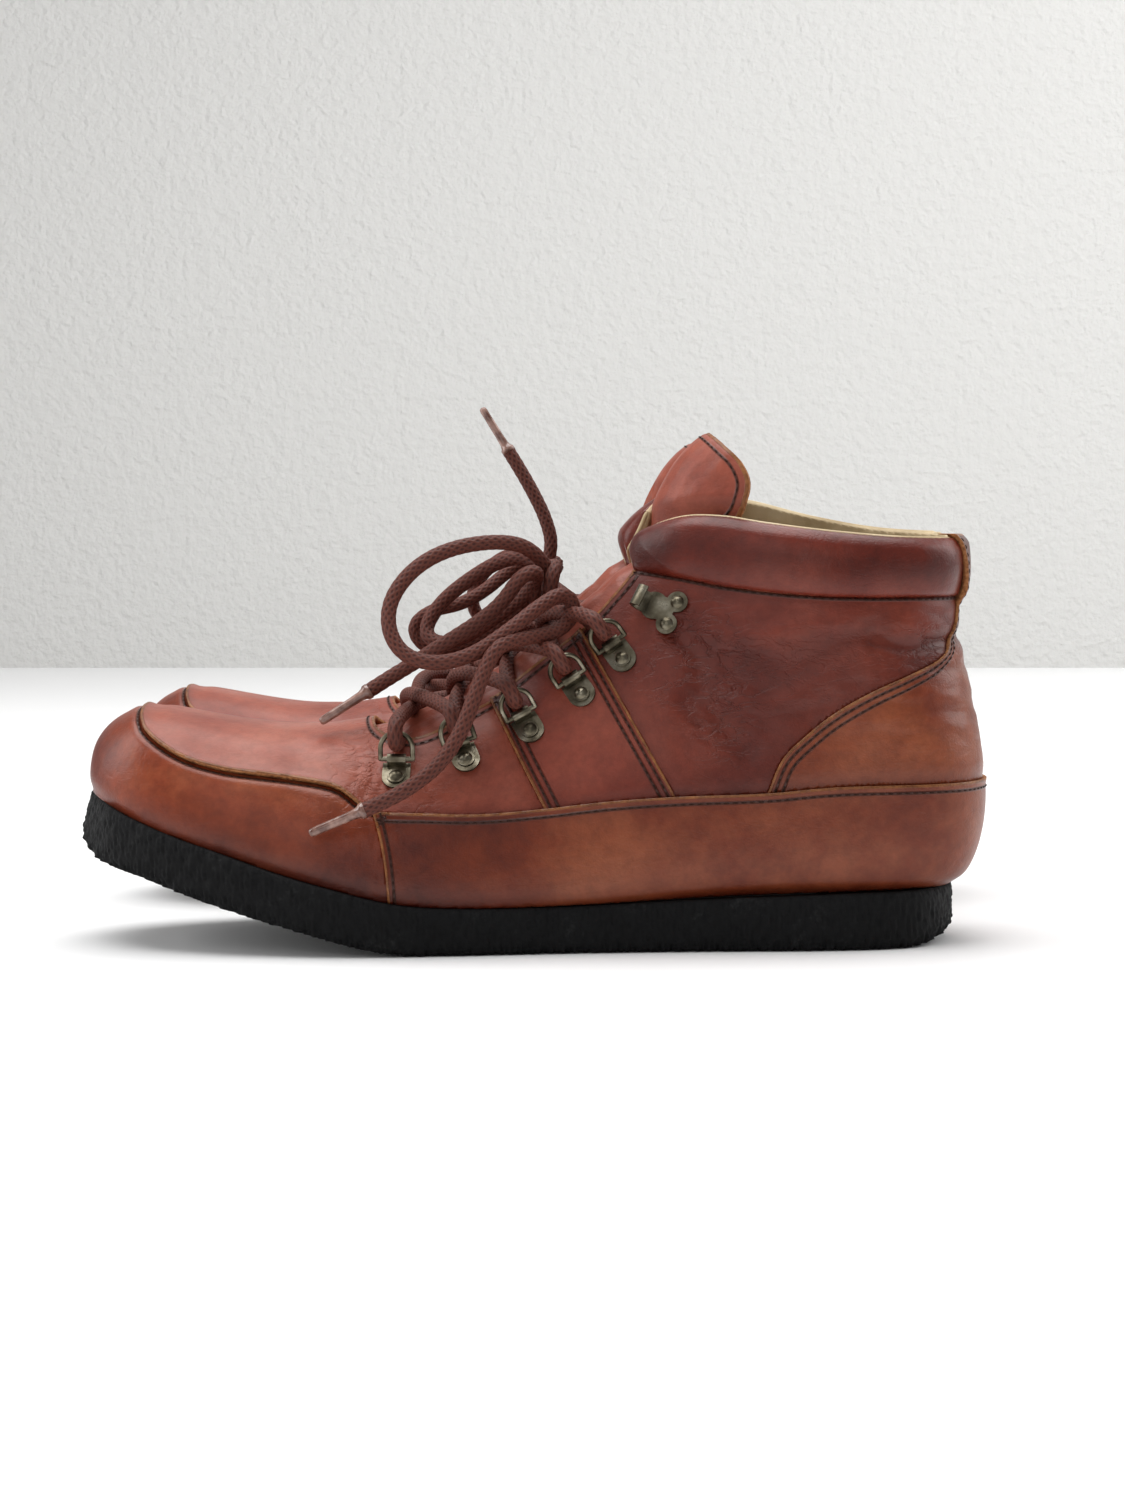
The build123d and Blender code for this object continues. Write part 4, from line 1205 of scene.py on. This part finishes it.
STITCH = 2.5
STITCH_GAP = 0.3
THREAD_R = 0.3
THREAD_SIDES = 6
THREAD_PROFILE = [(0.15, -0.35), (0.85, -0.02), (1.0, 0.08), (0.85, -0.02), (0.15, -0.35)]
SHORTEST_STITCH = 0.5
PIPING_SIDES = 8
PIPING_STEP = 0.8


def stitch_points(chain, heights):
    """Even stitches along a chain on the leather: start, end and normal of each."""
    points = chain[:, :3] + chain[:, 3:6] * heights[:, None]
    walked = walk(points)
    found = []
    for i in range(int(walked[-1] // (STITCH + STITCH_GAP))):
        steps = i * (STITCH + STITCH_GAP) + np.linspace(0, STITCH, len(THREAD_PROFILE))
        found.append((spots_at(steps, walked, points),
                      unit(spots_at(steps, walked, chain[:, 3:6]))))
    return found


def stitch_mesh(stitches):
    """Small rounded threads, each dipping into the leather at its ends."""
    points, faces = [], []
    angles = np.linspace(0, 2 * math.pi, THREAD_SIDES, endpoint=False)
    for body, normal in stitches:
        way = body[-1] - body[0]
        if np.linalg.norm(way) < SHORTEST_STITCH:
            continue
        way = unit(way)
        faces += tube_faces(len(THREAD_PROFILE), THREAD_SIDES, len(points))
        for spot, n, (thick, dip) in zip(body, normal, THREAD_PROFILE):
            side = unit(np.cross(way, n))
            points += [spot + n * dip + THREAD_R * thick * (side * math.cos(angle)
                                                            + n * math.sin(angle))
                       for angle in angles]
    return np.array(points), faces


def with_columns(sheet, *columns):
    """A copy of a sheet with more values per point, after its own."""
    made = Sheet.__new__(Sheet)
    made.data = np.column_stack([sheet.data, *columns])
    made.faces, made.names = sheet.faces, sheet.names
    return made


def rows_of_stitches(sheet, outer, name, offsets, limit=None):
    """Stitch rows on a piece, at distances from one of its edges, where limit allows them."""
    raised = with_columns(sheet, outer)
    found = []
    for offset in offsets:
        for chain in isoline(raised, sheet[name] - offset):
            if limit is not None:
                chain = chain[limit(chain[:, 2])]
            if len(chain) > 3:
                found += stitch_points(chain, chain[:, -1])
    return found


def edge_tube(name, boot, chains, radius, material):
    """A thin round piping along chains of a piece's rows, at heights above them."""
    points, faces = [], []
    angles = np.linspace(0, 2 * math.pi, PIPING_SIDES, endpoint=False)
    for chain, heights in chains:
        line = chain[:, :3] + chain[:, 3:6] * heights[:, None]
        walked = walk(line)
        count = max(int(walked[-1] / PIPING_STEP), 4)
        goals = np.linspace(0, walked[-1], count)
        path = spots_at(goals, walked, line)
        path[1:-1] = (path[:-2] + 2 * path[1:-1] + path[2:]) / 4
        way = unit(np.gradient(path, axis=0))
        side = unit(np.cross(way, spots_at(goals, walked, chain[:, 3:6])))
        up = np.cross(side, way)
        faces += tube_faces(count, PIPING_SIDES, len(points))
        for k in range(count):
            thin = radius * min(1, 0.25 + k * 0.25, 0.25 + (count - 1 - k) * 0.25)
            points += [path[k] + thin * (side[k] * math.cos(angle) + up[k] * math.sin(angle))
                       for angle in angles]
    return make_mesh(name, boot, np.array(points), faces, [material])


PANELS = {
    "toe_wall": (toe_wall, BURNISHED),
    "vamp": (vamp, PAINTED_HIGHLIGHT_LEATHER),
    "mid_quarters": (mid_quarter, UPPER),
    "ankle_quarters": (ankle_quarter, UPPER),
    "heel_counter": (heel_counter, BURNISHED),
    "foxing_band": (foxing_band, BURNISHED),
}
THICKNESS = 1.9
TONGUE_THICKNESS = 2.2
LINING_THICKNESS = 0.9
PIPING_R = 0.75
STRIP_STARTS = 106  # where the heel's narrow strip leaves room for one row only


def outsole_mesh():
    """The crepe sole: a rough-edged wall between the feather line and the underside."""
    outer = [(x, -out) for x, out, _ in SOLE_PLAN]
    inner = [(x, into) for x, _, into in SOLE_PLAN]
    rim = [(0.2, 0)] + outer + [(SOLE_LENGTH, 0)] + inner[::-1]
    closed = rim[-2:] + rim + rim[:3]
    line = curve_through(closed, SOLE_AROUND)
    from_toe = np.hypot(line[:, 0] - rim[0][0], line[:, 1])
    half = len(line) // 2
    line = line[np.argmin(from_toe[:half - half // 15]):half + np.argmin(from_toe[half:])]
    count = len(line)
    bottom_line = curve_through(SOLE_UNDERSIDE, 200)
    rise_line = curve_through(SOLE_HEEL_RISE, 60)
    feather_line = curve_through(FEATHER, 400)

    def bottom(x):
        low = np.interp(x, bottom_line[:, 0], bottom_line[:, 1])
        return np.where(x > SOLE_HEEL_RISE[0][0],
                        np.interp(x, rise_line[:, 0], rise_line[:, 1]),
                        np.where(x > SOLE_UNDERSIDE[-1][0], 0, low))

    def top(x):
        return np.interp(x, feather_line[:, 0], feather_line[:, 1])

    levels = SOLE_LEVELS
    points = []
    tangent = np.roll(line, -1, axis=0) - np.roll(line, 1, axis=0)
    away = unit(np.stack([-tangent[:, 1], tangent[:, 0]], axis=1))
    if np.sum(away * (line - line.mean(axis=0))) < 0:
        away = -away
    for level in range(levels + 1):
        share = level / levels
        spots = line.copy()
        slope = 4.2 * share * np.exp(-(line[:, 0] / 9) ** 2)
        spots[:, 0] += slope
        low, high = bottom(line[:, 0]), top(spots[:, 0])
        z = low + (high - low) * share
        probe = np.column_stack([spots, z])
        rough = 0.28 * wave_noise(probe, 4.0, 51, 2) + 0.22 * wave_noise(probe, 1.7, 52, 1)
        rough *= 1.0 + 1.6 * np.exp(-(share / 0.16) ** 2)
        tuck = -0.9 * np.exp(-(share / 0.10) ** 2) - 0.7 * np.exp(-((1 - share) / 0.06) ** 2)
        shift = rough + tuck - 0.3
        ragged = 0.8 * np.exp(-(share / 0.12) ** 2) * np.abs(wave_noise(probe, 3.2, 53, 2))
        flat = np.where(low < 0.4, 0.0, 1.0)
        points.append(np.column_stack([spots + away * shift[:, None], z + ragged * (
            0.25 + 0.75 * flat)]))
    walls = np.vstack(points)
    middle = SOLE_LENGTH / 2
    rings = {"underside": [], "upper": []}
    for kind, level in (("underside", 0), ("upper", levels)):
        edge = walls[level * count:(level + 1) * count]
        for share in (0.93, 0.8, 0.6, 0.35, 0.12):
            spot = edge.copy()
            spot[:, 1] *= share
            spot[:, 0] = middle + (edge[:, 0] - middle) * (0.5 + 0.5 * share)
            if kind == "upper":
                spot[:, 2] = top(spot[:, 0])
            else:
                spot[:, 2] = bottom(spot[:, 0])
                spot[:, 2] += 0.35 * np.abs(wave_noise(spot, 6, 54, 2)) * (share < 0.9)
            rings[kind].append(spot)
    # one closed skin, from the underside's middle out, up the wall and in over the top
    rows = rings["underside"][::-1] + [walls] + rings["upper"]
    return np.vstack(rows), tube_faces(len(rings["underside"]) * 2 + levels + 1, count)


# Which piece's stitches lie how far from which seam, and at what heights
STITCH_ROWS = [
    ("toe_wall", "lower", [-1.3], None), ("mid_quarters", "a", [-1.9, -4.3], None),
    ("mid_quarters", "b", [1.9, 4.3], None), ("mid_quarters", "throat", [2.2], None),
    ("heel_counter", "c_true", [-2.0], None),
    ("heel_counter", "c_true", [-4.3], lambda z: z < STRIP_STARTS),
    ("foxing_band", "lower", [-2.6], None), ("foxing_band", "front", [-2.2], None),
    ("ankle_quarters", "collar", [-0.8], None), ("ankle_quarters", "throat", [2.2], None),
    ("vamp", "throat", [2.2], None), ("tongue", "tongue", [3.6], lambda z: z > 128),
]


def build_uppers():
    """All leather pieces, stitching, piping, lining, tongue and sole of both boots."""
    shapes = {name: maker() for name, (maker, _) in PANELS.items()}
    collar, collar_outer, collar_inner, collar_marks = collar_shape()
    shapes["tongue"] = tongue, tongue_outer, tongue_marks = tongue_shape()
    lining, lining_outer = lining_shape()
    stitches = []
    for name, seam, offsets, limit in STITCH_ROWS:
        stitches += rows_of_stitches(*shapes[name][:2], seam, offsets, limit)
    stitch_spots, stitch_faces = stitch_mesh(stitches)
    piping = [(chain, chain[:, -2] * 0.35 + chain[:, -1] * 0.65 + 0.4)
              for chain in isoline(with_columns(collar, collar_outer, collar_inner),
                                   collar["top"] - 0.35)]
    sole_points, sole_faces = outsole_mesh()
    for boot in BOOTS:
        def finished(piece, slot, *nodes):
            if nodes:
                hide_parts(*[f"{boot.name}_{node}" for node in nodes])

        for name, (_, material) in PANELS.items():
            sheet, outer, seen = shapes[name]
            finished(thick_piece(name + "_leather", boot, sheet, outer, outer - THICKNESS,
                                 [material, RAW], seen),
                     "upper_leather" if material in (UPPER, PAINTED_HIGHLIGHT_LEATHER) else "burnished_leather",
                     name)
        pads = thick_piece("collar_pads", boot, collar, collar_outer, collar_inner,
                           [COLLAR_SKIN, CREAM], collar_marks)
        finished(pads, "collar_leather", "collar", "collar_padding")
        finished(thick_piece("tongue_leather", boot, tongue, tongue_outer,
                             tongue_outer - TONGUE_THICKNESS, [PAINTED_HIGHLIGHT_LEATHER, RAW], tongue_marks),
                 "tongue_leather", "tongue")
        finished(thick_piece("lining_skin", boot, lining, lining_outer,
                             lining_outer - LINING_THICKNESS, [CREAM, CREAM]),
                 "lining_leather", "lining")
        finished(make_mesh("stitching", boot, stitch_spots, stitch_faces, [THREAD]),
                 "lace_cotton")
        finished(edge_tube("collar_piping", boot, piping, PIPING_R, CREAM), "lining_leather")
        finished(make_mesh("crepe_sole", boot, sole_points, sole_faces, [CREPE]),
                 "crepe_rubber", "outsole")


build_uppers()

# ---------------------------------------------------------------- CAD nodes that stay


def paint_cad_nodes():
    """Better materials on the CAD parts that stay as they are."""
    finish = {"ring_clips": BRASS, "hooks": BRASS, "rivets": BRASS,
              "insole": CREAM, "stiffeners": BOARD}
    for name, node in frame["nodes"].items():
        kind = name.split("_", 1)[1]
        material = BRASS if kind.startswith("ring_") else finish.get(kind)
        if material:
            for slot in node.material_slots:
                slot.material = material


paint_cad_nodes()
